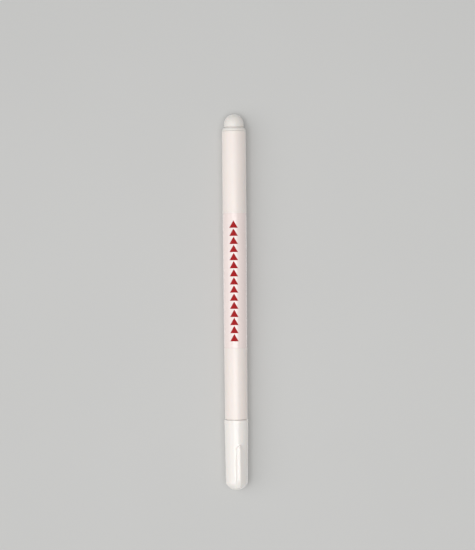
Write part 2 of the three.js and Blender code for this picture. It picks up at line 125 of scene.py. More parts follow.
# Neck and its snap bead
NECK_RADIUS = 3.7 * MM
NECK_BORE = 2.8 * MM
SNAP_PLACE = 4.2 * MM
SNAP_WIDTH = 0.9 * MM
SNAP_HEIGHT = 0.06 * MM
SNAP_ROWS = 9

# Rear plug
PLUG_SEAM = 0.1 * MM
FLANGE_RADIUS = 4.53 * MM
FLANGE_THICKNESS = 1.24 * MM
GROOVE_WIDTH = 0.42 * MM
GROOVE_DEPTH = 0.5 * MM
SPIGOT_LENGTH = 7.5 * MM
SPIGOT_PLAY = 0.2 * MM
PLUG_WALL = 0.9 * MM
CRUSH_RIBS = 6
CRUSH_RIB_WIDTH = 0.5 * MM
PRONGS = 3
PRONG_SLOT_WIDTH = 3.0 * MM

# Reservoir, film and wick
RESERVOIR_RADIUS = 3.1 * MM
FILM_THICKNESS = 0.08 * MM
WICK_RADIUS = 0.8 * MM
WICK_STEM_RADIUS = 0.55 * MM
WICK_POINT_RADIUS = 0.33 * MM
FIBRE_EDGE = 0.1 * MM

# Nose cone and metal tip
NOSE_FLANGE_RADIUS = 3.4 * MM
NOSE_FLANGE_THICKNESS = 0.75 * MM
NOSE_CORE_RADIUS = 1.7 * MM
NOSE_CORE_LENGTH = 10.5 * MM
VENTS = 3
VENT_WIDTH = 0.6 * MM
VENT_DEPTH = 0.35 * MM
TIP_COLLAR_LENGTH = 0.9 * MM
TIP_SHANK_RADIUS = 0.95 * MM
TIP_SHANK_LENGTH = 3.0 * MM
TIP_BORE_RADIUS = 0.62 * MM
TIP_THROAT_RADIUS = 0.38 * MM
TIP_THROAT_LENGTH = 1.4 * MM
TIP_SOCKET_WALL = 0.14 * MM
TIP_LIP_WALL = 0.05 * MM
BALL_PLAY = 0.03 * MM
METAL_EDGE = 0.04 * MM

# Cap, liner and seal pad
CAP_LIP_LENGTH = 1.5 * MM
CAP_LIP_STEP = 0.05 * MM
CAP_END_WALL = 1.6 * MM
CAP_CAVITY_RADIUS = 3.4 * MM
CAP_CAVITY_DRAFT = 0.1 * MM
CAP_CAVITY_ROUNDING = 2.0 * MM
LINER_SETBACK = 0.4 * MM
LINER_WALL = 0.55 * MM
LINER_END_RADIUS = 1.8 * MM
LINER_FLANGE_LENGTH = 1.2 * MM
LINER_RIBS = 4
LINER_RIB_WIDTH = 0.6 * MM
PAD_RIM = 0.35 * MM
PAD_CUP_RADIUS = 1.2 * MM
PAD_EDGE = 0.1 * MM
PAD_RIM_EDGE = 0.15 * MM

# Mark of the moulding gate in the middle of each dome
GATE_RADIUS = 0.45 * MM
GATE_DEPTH = 0.12 * MM
GATE_NUB_RADIUS = 0.16 * MM
GATE_NUB_HEIGHT = 0.12 * MM
GATE_EDGE = 0.08 * MM
GATE_ROWS = np.array([0, 0.08, 0.16, 0.2, 0.24, 0.34, 0.45, 0.49, 0.53, 0.6]) * MM

# Finishes. The print's and the lap's rise are counted in skin depths
SKIN_DEPTH = 0.012 * MM
FIBRE_DEPTH = 0.04 * MM
WRINKLE_DEPTH = 0.03 * MM
RING_PITCH = 0.03 * MM
TURNED_RINGS = 0.0015 * MM
POLISHED_RINGS = 0.0002 * MM
SMUDGE_ROUGHNESS = 0.12
FILM_GLOSS = 0.8
INK_ROUGHNESS = 0.3
PRINT_EDGE = 0.02 * MM
PRINT_RISE = 0.5
LAP_RISE = 4.0
LAP_WIDTH = 1.6 * MM
LAP_EDGE = 0.06 * MM

# Sockets by which a Mix node mixes colours. Its other sockets have the same names
MIX_SHARE, MIX_FIRST, MIX_LAST, MIX_RESULT = 0, 6, 7, 2

# Stage: the floor, the soft box over the pen and how far the camera sees
FLOOR_HALF = 3.0
FLOOR_DROP = 0.01 * MM
BOX_PLACE = Vector((-0.02, -0.05, 0.64))
BOX_ACROSS = 0.50
BOX_ALONG = 0.27
NEAREST_SEEN = 0.01
FARTHEST_SEEN = 20.0

# The photograph's frame and where the pen's two ends lie in it, in its pixels
PHOTO_WIDTH = 475
PHOTO_HEIGHT = 550
PEN_TOP_PIXEL = Vector((233.68, 114.35))
PEN_END_PIXEL = Vector((236.92, 489.82))
SENSOR_WIDTH = 36.0


def a_length(name, description, default, low=-1.0):
    """A setting that is a length in metres, not under low."""
    return FloatProperty(
        name=name, description=description, default=default, min=low, precision=5, unit="LENGTH")


def an_angle(name, description, degrees):
    """A setting that is an angle, given in degrees and kept in radians."""
    return FloatProperty(
        name=name, description=description, default=math.radians(degrees), subtype="ANGLE")


def a_colour(name, description, default):
    """A setting that is a colour, its three parts from 0 to 1."""
    return FloatVectorProperty(
        name=name, description=description, default=default, size=3, min=0, max=1, subtype="COLOR")


class BarrelSettings(bpy.types.PropertyGroup):
    """Sizes and colour of the barrel"""

    radius: a_length("Radius", "Radius of the straight rear stretch", 4.6 * MM, 3.8 * MM)
    shoulder_radius: a_length(
        "Shoulder radius", "Radius where the cap's mouth meets the barrel", 4.37 * MM, 3.8 * MM)
    taper_length: a_length(
        "Taper length", "Length over which the barrel narrows to its shoulder", 82.6 * MM, 1.0 * MM)
    bore_radius: a_length("Bore radius", "Radius of the bore that holds the reservoir", 3.7 * MM, 3.4 * MM)
    edge: a_length("Edge rounding", "Radius of the moulded edges", 0.15 * MM, 0.01 * MM)
    colour: a_colour("Colour", "Colour of the barrel's plastic", (0.89, 0.81, 0.765))


class LabelSettings(bpy.types.PropertyGroup):
    """Sizes and colours of the printed film"""

    film: a_length("Film thickness", "Thickness of the film round the barrel", 0.05 * MM, 0.02 * MM)
    lap_place: a_length(
        "Lap place", "Where the film's end laps over its start, along the arc from the top line", 8.6 * MM)
    print_width: a_length("Print width", "Width of the printed row across the barrel", 3.4 * MM, 0.5 * MM)
    print_pitch: a_length(
        "Print pitch", "Distance from one printed triangle to the next", 3.11 * MM, 0.5 * MM)
    print_height: a_length(
        "Triangle height", "Height of a printed triangle along the pen", 2.85 * MM, 0.3 * MM)
    print_count: IntProperty(
        name="Triangles", description="How many triangles the printed row has",
        default=15, min=1)
    print_middle: a_length("Print place", "Middle of the printed row along the pen", 8.35 * MM)
    print_offset: a_length(
        "Print offset", "How far the row lies to the left of the pen's top line", 0.46 * MM)
    # Film colour is the satin film's own pale tone plus a pink tint that is painted reflected light: red
    # light bounced onto the film, kept in its colour
    colour: a_colour("Film colour", "Colour of the satin film", (0.90, 0.775, 0.742))
    print_colour: a_colour("Print colour", "Colour of the printed row", (0.36, 0.001, 0.003))


class PlugSettings(bpy.types.PropertyGroup):
    """Sizes and colour of the rear plug"""

    dome_radius: a_length("Dome radius", "Radius of the domed end", 3.8 * MM, 1.0 * MM)
    flange_round: a_length(
        "Flange rounding", "Radius of the flange's rounded shoulder", 0.9 * MM, 0.73 * MM)
    colour: a_colour("Colour", "Colour of the plug's plastic", (0.82, 0.785, 0.745))


class WritingEndSettings(bpy.types.PropertyGroup):
    """Sizes and colours of the nose cone, the metal tip and the ball"""

    nose_base_radius: a_length(
        "Nose base radius", "Radius of the nose cone at its flange", 2.85 * MM, 1.5 * MM)
    nose_end_radius: a_length(
        "Nose end radius", "Radius of the nose cone at the metal tip", 1.35 * MM, 1.1 * MM)
    nose_bulge: a_length("Nose bulge", "How far the cone's side swells over a straight line", 0.2 * MM)
    tip_radius: a_length("Tip radius", "Radius of the metal tip's collar", 1.1 * MM, 1.0 * MM)
    ball_radius: a_length("Ball radius", "Radius of the writing ball", 0.5 * MM, 0.2 * MM)
    nose_colour: a_colour(
        "Nose colour", "Colour of the natural plastic of nose and liner", (0.82, 0.79, 0.71))
    metal_colour: a_colour("Metal colour", "Colour of the turned metal tip", (0.60, 0.57, 0.52))
    ball_colour: a_colour("Ball colour", "Colour of the polished ball", (0.30, 0.30, 0.31))
    fibre_colour: a_colour("Fibre colour", "Colour of the wick and the reservoir", (0.88, 0.87, 0.82))


class CapSettings(bpy.types.PropertyGroup):
    """Sizes and colour of the cap and its rib"""

    end_radius: a_length(
        "End radius", "Radius of the cap's side where the dome begins", 4.22 * MM, 4.0 * MM)
    dome_radius: a_length("Dome radius", "Radius of the domed end", 4.63 * MM, 4.3 * MM)
    rib_foot: a_length(
        "Rib foot", "From the rib's middle plane to the foot of its steep side", 0.94 * MM, 0.3 * MM)
    rib_edge: a_length(
        "Rib edge", "Width over which the steep side rounds into the rib's top", 0.65 * MM, 0.05 * MM)
    rib_top: a_length("Rib top", "Distance of the rib's top from the pen's axis", 5.254 * MM, 4.7 * MM)
    rib_start: a_length("Rib start", "From the cap's mouth to the rib", 9.4 * MM, 2.0 * MM)
    rib_slant: a_length("Rib slant", "Length of the rib's obliquely cut end", 1.5 * MM, 0.0)
    rib_end: a_length("Rib end", "From the dome's top to the rib's lower end", 1.1 * MM, 0.3 * MM)
    rib_rounding: a_length(
        "Rib rounding", "Radius of the edges and fillets at the rib's two ends", 0.27 * MM, 0.02 * MM)
    rib_level: a_length("Rib level", "From the rib's middle plane to where its soft side begins", 0.55 * MM)
    rib_soft_radius: a_length(
        "Rib soft radius", "Radius over which the rib's top turns into its soft side", 0.9 * MM, 0.1 * MM)
    rib_soft_slope: an_angle("Rib soft slope", "Slope of the rib's soft side", 33)
    rib_run_out: an_angle(
        "Rib run-out", "Angle round the cap where the soft side has run out in the cap's round", 52)
    rib_lead: a_length(
        "Rib lead", "Length over which the soft side rises at its outer border", 6.0 * MM, 0.1 * MM)
    rib_crown: a_length("Rib crown", "Radius to which the rib's top is rounded across", 8.0 * MM, 0.7 * MM)
    rib_tilt: an_angle("Rib tilt", "How far the rib's top is turned back towards level", 9)
    rib_turn: an_angle("Rib turn", "How far the rib stands off the top line", 8)
    colour: a_colour("Colour", "Colour of the cap's plastic", (0.90, 0.86, 0.82))
    seal_colour: a_colour("Seal colour", "Colour of the soft seal pad", (0.66, 0.64, 0.60))


class StageSettings(bpy.types.PropertyGroup):
    """Floor, light and camera"""

    lens: FloatProperty(
        name="Lens", description="Focal length in millimetres",
        default=100.0, min=20.0, subtype="DISTANCE_CAMERA")
    key_light: FloatProperty(
        name="Key light", description="Light of the wide soft lamp on the left, as a share of full white",
        default=0.26, min=0.0)
    key_lean: an_angle("Key lean", "How far the wide lamp leans to the left from straight above", 40)
    key_width: an_angle("Key width", "Angle that the wide lamp takes up, seen from the pen", 60)
    box_light: FloatProperty(
        name="Overhead light", description="Power of the soft box that hangs over the pen",
        default=1.7, min=0.0, subtype="POWER", unit="POWER")
    sky_light: FloatProperty(
        name="Sky light", description="Strength of the even light from all round",
        default=0.40, min=0.0)
    floor_colour: a_colour("Floor colour", "Colour of the plain floor", (0.60, 0.60, 0.59))
    table_colour: a_colour(
        "Table colour", "Colour of the floor as the pen's gloss shows it", (0.95, 0.95, 0.94))
    sky_colour: a_colour(
        "Sky colour", "Colour that the camera and reflections see beyond the floor", (0.72, 0.72, 0.71))


class FabricPenSettings(bpy.types.PropertyGroup):
    """All the sizes and colours of the pen"""

    barrel: PointerProperty(type=BarrelSettings)
    label: PointerProperty(type=LabelSettings)
    plug: PointerProperty(type=PlugSettings)
    writing_end: PointerProperty(type=WritingEndSettings)
    cap: PointerProperty(type=CapSettings)
    stage: PointerProperty(type=StageSettings)


def facet_share(settings):
    """How far the solids' flat sides lie inside their round outline, as a share of the radius."""
    return AXIS_HEIGHT / settings.barrel.radius


def eased(corners, ring=True):
    """The outline through the corners, each one eased by an arc of its own radius.

    A corner is (radius, place, rounding). The arc touches both sides that meet there: its ends lie
    rounding times the tangent of half the turn from the corner, at most just under half a side, and
    between them the spoke from the arc's middle turns at an even rate.
    """
    table = np.array(corners, float)
    at, rounding = table[:, :2], table[:, 2]
    if ring:
        before, after = np.roll(at, 1, axis=0), np.roll(at, -1, axis=0)
    else:
        before, after = np.vstack([at[:1], at[:-1]]), np.vstack([at[1:], at[-1:]])
    back, ahead = before - at, after - at
    back_length = np.maximum(np.hypot(*back.T), SAME_POINT)
    ahead_length = np.maximum(np.hypot(*ahead.T), SAME_POINT)
    back, ahead = back / back_length[:, None], ahead / ahead_length[:, None]
    turn = math.pi - np.arccos(np.clip((back * ahead).sum(1), -1, 1))
    bends = (rounding > 0) & (turn > LEAST_TURN)
    turn = np.where(bends, turn, 1.0)
    longest = SIDE_SHARE * np.minimum(back_length, ahead_length)
    reach = np.minimum(rounding * np.tan(turn / 2), longest)
    inward = back + ahead
    inward = inward / np.maximum(np.hypot(*inward.T), SAME_POINT)[:, None]
    middle = at + inward * (reach / np.sin(turn / 2))[:, None]
    first, last = at + back * reach[:, None] - middle, at + ahead * reach[:, None] - middle
    share = np.linspace(0, 1, ARC_STEPS + 1)[None, :, None]
    wide = turn[:, None, None]
    of_first, of_last = np.sin((1 - share) * wide), np.sin(share * wide)
    arcs = (of_first * first[:, None] + of_last * last[:, None]) / np.sin(wide)
    points = np.where(bends[:, None, None], middle[:, None] + arcs, at[:, None]).reshape(-1, 2)
    if ring:
        points = np.vstack([points, points[:1]])
    moved = np.hypot(*np.diff(points, axis=0).T) > SAME_POINT
    return held(points[np.concatenate([[True], moved])])


def held(points):
    """The same outline with more points on its long sides: one close to each end, which keeps the
    shading of a corner off the side, and then one at least every longest row."""
    sides = np.hypot(*np.diff(points, axis=0).T)
    length = np.concatenate([[0], np.cumsum(sides)])
    long = sides > 3 * HOLD
    near_ends = np.concatenate([length[:-1][long] + HOLD, length[1:][long] - HOLD])
    even = np.arange(LONGEST_ROW, length[-1], LONGEST_ROW)
    clear = np.abs(even[:, None] - length).min(1) > HOLD
    stations = np.sort(np.concatenate([length, near_ends, even[clear]]))
    return np.stack([np.interp(stations, length, points[:, axis]) for axis in (0, 1)], 1)


def arc(middle, radius, first, last, steps=DOME_STEPS):
    """Corners with no rounding on a circle in the outline's plane, from angle first to angle last,
    counted from the outward radius: middle + radius x (cosine, sine)."""
    angle = np.linspace(first, last, steps + 1)
    return [(middle[0] + radius * math.cos(a), middle[1] + radius * math.sin(a), 0) for a in angle]


def bead(radius, height, middle, width):
    """Corners of a low round bead, half a cosine wave high, or of a groove where height is below 0."""
    share = np.linspace(-0.5, 0.5, SNAP_ROWS)
    return [(radius + height * math.cos(math.pi * s) ** 2, middle + width * s, 0) for s in share]


def smooth(share):
    """The share, held between 0 and 1, that starts and stops gently: 3 share^2 - 2 share^3."""
    share = np.clip(share, 0, 1)
    return share * share * (3 - 2 * share)


def gate_depth(radius):
    """How deep the gate's round recess lies under a dome, at a distance from the axis.

    The recess is flat with a nub in its middle, where the sprue broke off. Both have smooth edges.
    """
    recess = 1 - smooth((radius - GATE_RADIUS) / GATE_EDGE)
    nub = 1 - smooth((radius - GATE_NUB_RADIUS) / GATE_EDGE)
    return GATE_DEPTH * recess - GATE_NUB_HEIGHT * nub


def distinct(angles):
    """The angles in order, without those that all but repeat the one before."""
    angles = np.unique(angles)
    return angles[np.concatenate([[True], np.diff(angles) > SAME_ANGLE])]


def column_angles(centres=(), half_angle=0.0, flank=0.0):
    """Even angles round the axis, with two more at each steep side of the ribs or slots."""
    even = np.arange(AROUND) * FULL_TURN / AROUND
    sides = np.array([-half_angle - flank, -half_angle, half_angle, half_angle + flank])
    extra = (np.asarray(centres, float)[:, None] + sides).ravel() % FULL_TURN
    return distinct(np.concatenate([even, extra]))


def spread(count):
    """Equal angles round the axis, the first of them half a step on."""
    return (np.arange(count) + 0.5) * FULL_TURN / count


def within(angles, centres, half_angle):
    """True for the columns that lie in one of the sectors round the centres."""
    away = np.abs((angles[:, None] - centres + math.pi) % FULL_TURN - math.pi)
    return away.min(1) <= half_angle + SAME_ANGLE


def ribbed_columns(count, width, radius):
    """The columns' angles for evenly spread ribs or slots, and which columns lie in one of them.

    A rib's half angle is half its width over the radius that it stands on.
    """
    centres, half = spread(count), width / 2 / radius
    angles = column_angles(centres, half, FLANK / radius)
    return angles, within(angles, centres, half)


def turned(outline, angles):
    """The outline's radius and place, repeated for each column: rows follow the outline."""
    flat = np.ones((len(outline), len(angles)))
    return outline[:, :1] * flat, outline[:, 1:] * flat


def placed(radius, place, angles):
    """Points of a surface turned about the pen's axis: (r sin a, place, axis height + r cos a)."""
    return np.stack([radius * np.sin(angles), place, AXIS_HEIGHT + radius * np.cos(angles)], -1)


def closed_mesh(name, points, ring):
    """A closed mesh from a grid of points whose columns go once round the axis.

    In a ring the last row meets the first. Otherwise the first and the last row are poles, each
    drawn together to one point with a fan of triangles. The grid's rows run with the solid on
    their left and its columns run clockwise seen from the rear, so that faces point outwards.
    Where rows are drawn together, as between the plug's prongs, their points are merged.
    """
    rows, columns = points.shape[:2]
    if ring:
        vertices = points[:-1].reshape(-1, 3)
        index = np.arange(len(vertices)).reshape(rows - 1, columns)
        index = np.vstack([index, index[:1]])
        fans = np.empty((0, 3), int)
    else:
        vertices = np.vstack([points[0, :1], points[1:-1].reshape(-1, 3), points[-1, :1]])
        index = 1 + np.arange((rows - 2) * columns).reshape(rows - 2, columns)
        first, last = np.zeros(columns, int), np.full(columns, len(vertices) - 1)
        fans = np.vstack([
            np.stack([first, np.roll(index[0], -1), index[0]], -1),
            np.stack([index[-1], np.roll(index[-1], -1), last], -1),
        ])
    near, far = index[:-1], index[1:]
    quads = np.stack([near, np.roll(near, -1, 1), np.roll(far, -1, 1), far], -1).reshape(-1, 4)
    mesh = bpy.data.meshes.new(name)
    mesh.from_pydata(vertices.tolist(), [], quads.tolist() + fans.tolist())
    grid = bmesh.new()
    grid.from_mesh(mesh)
    bmesh.ops.remove_doubles(grid, verts=grid.verts, dist=MERGED)
    grid.to_mesh(mesh)
    grid.free()
    mesh.shade_smooth()
    mesh.set_sharp_from_angle(angle=SHARP_ANGLE)
    return mesh


def shaped(name, radius, place, angles, settings, ring=True):
    """A closed mesh from the radius and place of its points, drawn in to the flats of its solid."""
    return closed_mesh(name, placed(radius * facet_share(settings), place, angles), ring)


def new_object(name, data):
    """An object at the origin that holds the data, in the scene."""
    made = bpy.data.objects.new(name, data)
    bpy.context.scene.collection.objects.link(made)
    return made


def finished(name, mesh, material, body, node):
    """Puts a mesh into the scene as the piece that stands for a solid and moves with its body."""
    mesh.materials.append(material)
    piece = new_object(name, mesh)
    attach(piece, body)
    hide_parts(node)
    return piece


def revolved(name, outline, material, body, node, settings, ring=True):
    """A plain turned piece: its outline goes once round the axis."""
    angles = column_angles()
    mesh = shaped(name, *turned(outline, angles), angles, settings, ring)
    return finished(name, mesh, material, body, node)


def put(tree, socket, value):
    """Sets a socket to a value, or links it to another node's output."""
    if isinstance(value, bpy.types.NodeSocket):
        tree.links.new(value, socket)
    else:
        socket.default_value = value


def add(tree, kind, sockets=None, **settings):
    """A new node with its settings. A socket is given by name or number, and takes a value or a link."""
    made = tree.nodes.new(kind)
    for name, value in settings.items():
        setattr(made, name, value)
    for name, value in (sockets or {}).items():
        put(tree, made.inputs[name], value)
    return made


def maths(tree, operation, first, second=0.0, third=0.0):
    """A Math node's result."""
    return add(tree, "ShaderNodeMath", {0: first, 1: second, 2: third}, operation=operation).outputs[0]


def ramped(tree, value, low, high, first=0.0, last=1.0):
    """The value carried from the range low to high into the range first to last, with a share of
    3 share^2 - 2 share^3."""
    sockets = {"Value": value, "From Min": low, "From Max": high, "To Min": first, "To Max": last}
    return add(tree, "ShaderNodeMapRange", sockets, interpolation_type="SMOOTHSTEP").outputs["Result"]


def mixed(tree, share, first, last):
    """A mix of two colours by a share."""
    sockets = {MIX_SHARE: share, MIX_FIRST: first, MIX_LAST: last}
    return add(tree, "ShaderNodeMix", sockets, data_type="RGBA").outputs[MIX_RESULT]


def new_group(name, values, results):
    """A shader node group that takes the position and some values, each with its default.

    Gives the group, the sockets that hold what it is given, and the sockets for its results.
    """
    tree = bpy.data.node_groups.new(name, "ShaderNodeTree")
    tree.interface.new_socket("Position", in_out="INPUT", socket_type="NodeSocketVector")
    for title, default in values.items():
        socket = tree.interface.new_socket(title, in_out="INPUT", socket_type="NodeSocketFloat")
        socket.default_value = default
    for title in results:
        tree.interface.new_socket(title, in_out="OUTPUT", socket_type="NodeSocketFloat")
    return tree, tree.nodes.new("NodeGroupInput").outputs, tree.nodes.new("NodeGroupOutput").inputs


def noise(tree, vector, scale, detail=2.0, roughness=0.5):
    """A fractal noise, a value from 0 to 1, with its scale in features a metre."""
    sockets = {"Vector": vector, "Scale": scale, "Detail": detail, "Roughness": roughness}
    return add(tree, "ShaderNodeTexNoise", sockets).outputs["Fac"]


def stretched(tree, vector, scale):
    """The vector with each of its directions scaled by itself."""
    return add(tree, "ShaderNodeMapping", {"Vector": vector, "Scale": scale}).outputs["Vector"]


def moulded_skin_group():
    """Moulded plastic: slow waves left by shrinkage, a fine tool grain and faint cloudy mottling."""
    tree, given, result = new_group("moulded_skin", {"Waves": 0.6, "Grain": 0.4}, ["Height", "Mottle"])
    waves = noise(tree, stretched(tree, given["Position"], (1, 0.35, 1)), scale=170.0, detail=1.0)
    grain = noise(tree, given["Position"], scale=7000.0, detail=3.0)
    clouds = noise(tree, given["Position"], scale=90.0, detail=4.0, roughness=0.6)
    wave_height = maths(tree, "MULTIPLY", waves, given["Waves"])
    put(tree, result["Height"], maths(tree, "MULTIPLY_ADD", grain, given["Grain"], wave_height))
    put(tree, result["Mottle"], ramped(tree, clouds, 0.3, 0.7))
    return tree


def handling_group():
    """Traces of handling: hairlines along the pen where it slid, and soft smudges."""
    tree, given, result = new_group("handling_marks", {"Hairlines": 0.5, "Smudges": 0.5}, ["Mask"])
    lines = noise(tree, stretched(tree, given["Position"], (1, 0.03, 1)), scale=9000.0)
    patches = noise(tree, given["Position"], scale=260.0)
    smears = noise(tree, given["Position"], scale=420.0, detail=5.0, roughness=0.65)
    thin = maths(tree, "MULTIPLY", ramped(tree, lines, 0.62, 0.72), ramped(tree, patches, 0.45, 0.7))
    hairlines = maths(tree, "MULTIPLY", thin, given["Hairlines"])
    smudges = maths(tree, "MULTIPLY", ramped(tree, smears, 0.42, 0.75), given["Smudges"])
    put(tree, result["Mask"], maths(tree, "MAXIMUM", hairlines, smudges))
    return tree


def dust_group():
    """Sparse specks of lint, about a tenth of a millimetre across.

    Each cell of a Voronoi pattern may hold a round speck, and about one cell in 14 has one.
    """
    tree, given, result = new_group("settled_dust", {"Amount": 0.5}, ["Specks"])
    cells = add(tree, "ShaderNodeTexVoronoi", {"Vector": given["Position"], "Scale": 900.0}).outputs
    speck = ramped(tree, cells["Distance"], 0.035, 0.06, first=1.0, last=0.0)
    lot = add(tree, "ShaderNodeSeparateColor", {"Color": cells["Color"]}).outputs["Red"]
    chosen = maths(tree, "MULTIPLY", speck, maths(tree, "GREATER_THAN", lot, 0.93))
    put(tree, result["Specks"], maths(tree, "MULTIPLY", chosen, given["Amount"]))
    return tree


def fibre_group():
    """Bonded fibres that run along the pen: fine streaks for the height and a softer one for tone."""
    tree, given, result = new_group("fibre_bundle", {}, ["Height", "Tone"])
    along = stretched(tree, given["Position"], (1, 0.06, 1))
    put(tree, result["Height"], noise(tree, along, scale=9000.0, detail=4.0, roughness=0.7))
    put(tree, result["Tone"], noise(tree, along, scale=2500.0))
    return tree


def turning_group():
    """Rings left by a turning tool, a sine along the pen whose phase a noise makes uneven."""
    tree, given, result = new_group("turning_rings", {"Pitch": RING_PITCH}, ["Height"])
    place = add(tree, "ShaderNodeSeparateXYZ", {"Vector": given["Position"]}).outputs["Y"]
    phase = maths(tree, "DIVIDE", maths(tree, "MULTIPLY", place, FULL_TURN), given["Pitch"])
    uneven = maths(tree, "MULTIPLY_ADD", noise(tree, given["Position"], scale=4000.0), 3.0, phase)
    put(tree, result["Height"], maths(tree, "SINE", uneven))
    return tree


GROUPS = {
    "moulded_skin": moulded_skin_group,
    "handling_marks": handling_group,
    "settled_dust": dust_group,
    "fibre_bundle": fibre_group,
    "turning_rings": turning_group,
}


def effect(tree, name, sockets):
    """A shared effect as a node in a material. Its group is built when it is first asked for."""
    group = bpy.data.node_groups.get(name) or GROUPS[name]()
    return add(tree, "ShaderNodeGroup", sockets, node_tree=group).outputs


def new_material(name):
    """An empty material with its shader and the object's own coordinates."""
    material = bpy.data.materials.new(name)
    material.use_nodes = True
    tree = material.node_tree
    tree.nodes.clear()
    shader = tree.nodes.new("ShaderNodeBsdfPrincipled")
    output = tree.nodes.new("ShaderNodeOutputMaterial")
    tree.links.new(shader.outputs["BSDF"], output.inputs["Surface"])
    return material, tree, shader, tree.nodes.new("ShaderNodeTexCoord").outputs["Object"]


def dress(tree, shader, sockets):
    """Sets or links the sockets of a material's shader, given by name."""
    for name, value in sockets.items():
        put(tree, shader.inputs[name], value)


def bumped(tree, height, distance):
    """A normal from a height that varies from 0 to 1 over the given distance."""
    return add(tree, "ShaderNodeBump", {"Height": height, "Distance": distance}).outputs["Normal"]


def shade(colour, share):
    """A colour with its light scaled, as a colour socket takes it."""
    return (*(part * share for part in colour), 1.0)


def worn(tree, marks, roughness, added=SMUDGE_ROUGHNESS):
    """A roughness that grows by what is added where the surface was handled."""
    return ramped(tree, marks["Mask"], 0, 1, roughness, roughness + added)


def plastic(name, colour, roughness, waves=0.6, grain=0.3, glow=0.12, soft=0.5 * MM):
    """Moulded plastic: faintly mottled, smudged and dusty, with light that enters a little way."""
    material, tree, shader, position = new_material(name)
    skin = effect(tree, "moulded_skin", {"Position": position, "Waves": waves, "Grain": grain})
    marks = effect(tree, "handling_marks", {"Position": position, "Hairlines": 0.7, "Smudges": 0.6})
    dust = effect(tree, "settled_dust", {"Position": position, "Amount": 0.5})
    body = mixed(tree, skin["Mottle"], shade(colour, 0.985), shade(colour, 1.0))
    dress(tree, shader, {
        "Base Color": mixed(tree, dust["Specks"], body, shade(colour, 0.6)),
        "Roughness": worn(tree, marks, roughness),
        "Normal": bumped(tree, skin["Height"], SKIN_DEPTH),
        "IOR": 1.49,
        "Subsurface Weight": glow,
        "Subsurface Radius": (1.0, 0.75, 0.55),
        "Subsurface Scale": soft,
    })
    return material


def printed_row(tree, position, across, place, label):
    """How much of the film the printed row covers at a point.

    The print is a border of solid triangles, as quilters piece them, that point along the pen. In
    each pitch a triangle's half width falls evenly from its base to its point, and a point is
    covered where its distance from the row's middle line is less. The edge is soft and ragged.
    """
    half_width = label.print_width / 2
    start = label.print_middle - label.print_count * label.print_pitch / 2
    sideways = maths(tree, "ABSOLUTE", maths(tree, "ADD", across, label.print_offset))
    along = maths(tree, "DIVIDE", maths(tree, "SUBTRACT", place, start), label.print_pitch)
    from_base = maths(tree, "MULTIPLY", maths(tree, "FRACT", along), label.print_pitch)
    width_here = maths(tree, "MULTIPLY_ADD", from_base, -half_width / label.print_height, half_width)
    grains = noise(tree, position, scale=16000.0)
    ragged = maths(tree, "MULTIPLY_ADD", grains, PRINT_EDGE, -PRINT_EDGE / 2)
    edge = maths(tree, "ADD", maths(tree, "SUBTRACT", width_here, sideways), ragged)
    started = maths(tree, "GREATER_THAN", along, 0.0)
    unfinished = maths(tree, "LESS_THAN", along, float(label.print_count))
    in_row = maths(tree, "MULTIPLY", started, unfinished)
    return maths(tree, "MULTIPLY", ramped(tree, edge, -PRINT_EDGE, PRINT_EDGE), in_row)


def printed_film(label, barrel_radius):
    """The label's satin film with its printed row, and the lap where its end lies over its start.

    A point's distance across is the arc from the pen's top line: its angle times the barrel's
    radius. A clear coat gives the bare film its gloss, and the ink lies on it without one.
    """
    material, tree, shader, position = new_material("printed_film")
    parts = add(tree, "ShaderNodeSeparateXYZ", {"Vector": position}).outputs
    height = maths(tree, "SUBTRACT", parts["Z"], AXIS_HEIGHT)
    across = maths(tree, "MULTIPLY", maths(tree, "ARCTAN2", parts["X"], height), barrel_radius)
    covered = printed_row(tree, position, across, parts["Y"], label)
    lap = maths(tree, "SUBTRACT", across, label.lap_place)
    lap_end = ramped(tree, lap, LAP_WIDTH, LAP_WIDTH + LAP_EDGE, first=1, last=0)
    doubled = maths(tree, "MULTIPLY", ramped(tree, lap, 0, LAP_EDGE), lap_end)
    skin = effect(tree, "moulded_skin", {"Position": position, "Waves": 0.7, "Grain": 0.5})
    marks = effect(tree, "handling_marks", {"Position": position, "Hairlines": 0.8, "Smudges": 0.8})
    dust = effect(tree, "settled_dust", {"Position": position, "Amount": 0.5})
    # The film's base colour: its own pale tone with a pink tint that is painted reflected light, varied at
    # random by the mottle
    film = mixed(tree, skin["Mottle"], shade(label.colour, 0.975), shade(label.colour, 1.0))
    screen = ramped(tree, noise(tree, position, scale=5200.0, detail=3.0), 0.35, 0.6, first=0.86, last=1.0)
    ink = mixed(tree, screen, shade(label.print_colour, 1.35), shade(label.print_colour, 1.0))
    printed = mixed(tree, covered, film, ink)
    raised = maths(tree, "MULTIPLY_ADD", covered, PRINT_RISE, skin["Height"])
    raised = maths(tree, "MULTIPLY_ADD", doubled, LAP_RISE, raised)
    dress(tree, shader, {
        "Base Color": mixed(tree, dust["Specks"], printed, shade(label.colour, 0.55)),
        "Roughness": maths(tree, "MULTIPLY_ADD", covered, INK_ROUGHNESS, worn(tree, marks, 0.24)),
        "Coat Weight": maths(tree, "MULTIPLY_ADD", covered, -FILM_GLOSS, FILM_GLOSS),
        "Normal": bumped(tree, raised, SKIN_DEPTH),
        "IOR": 1.5,
        "Specular IOR Level": 0.2,
        "Coat Roughness": 0.22,
    })
    return material


def turned_metal(name, colour, roughness, ring_height):
    """Turned metal: a bright base with fine rings round the axis."""
    material, tree, shader, position = new_material(name)
    rings = effect(tree, "turning_rings", {"Position": position, "Pitch": RING_PITCH})
    marks = effect(tree, "handling_marks", {"Position": position, "Hairlines": 0.3, "Smudges": 0.6})
    dress(tree, shader, {
        "Base Color": mixed(tree, marks["Mask"], shade(colour, 1.0), shade(colour, 0.85)),
        "Roughness": worn(tree, marks, roughness),
        "Normal": bumped(tree, rings["Height"], ring_height),
        "Metallic": 1.0,
    })
    return material


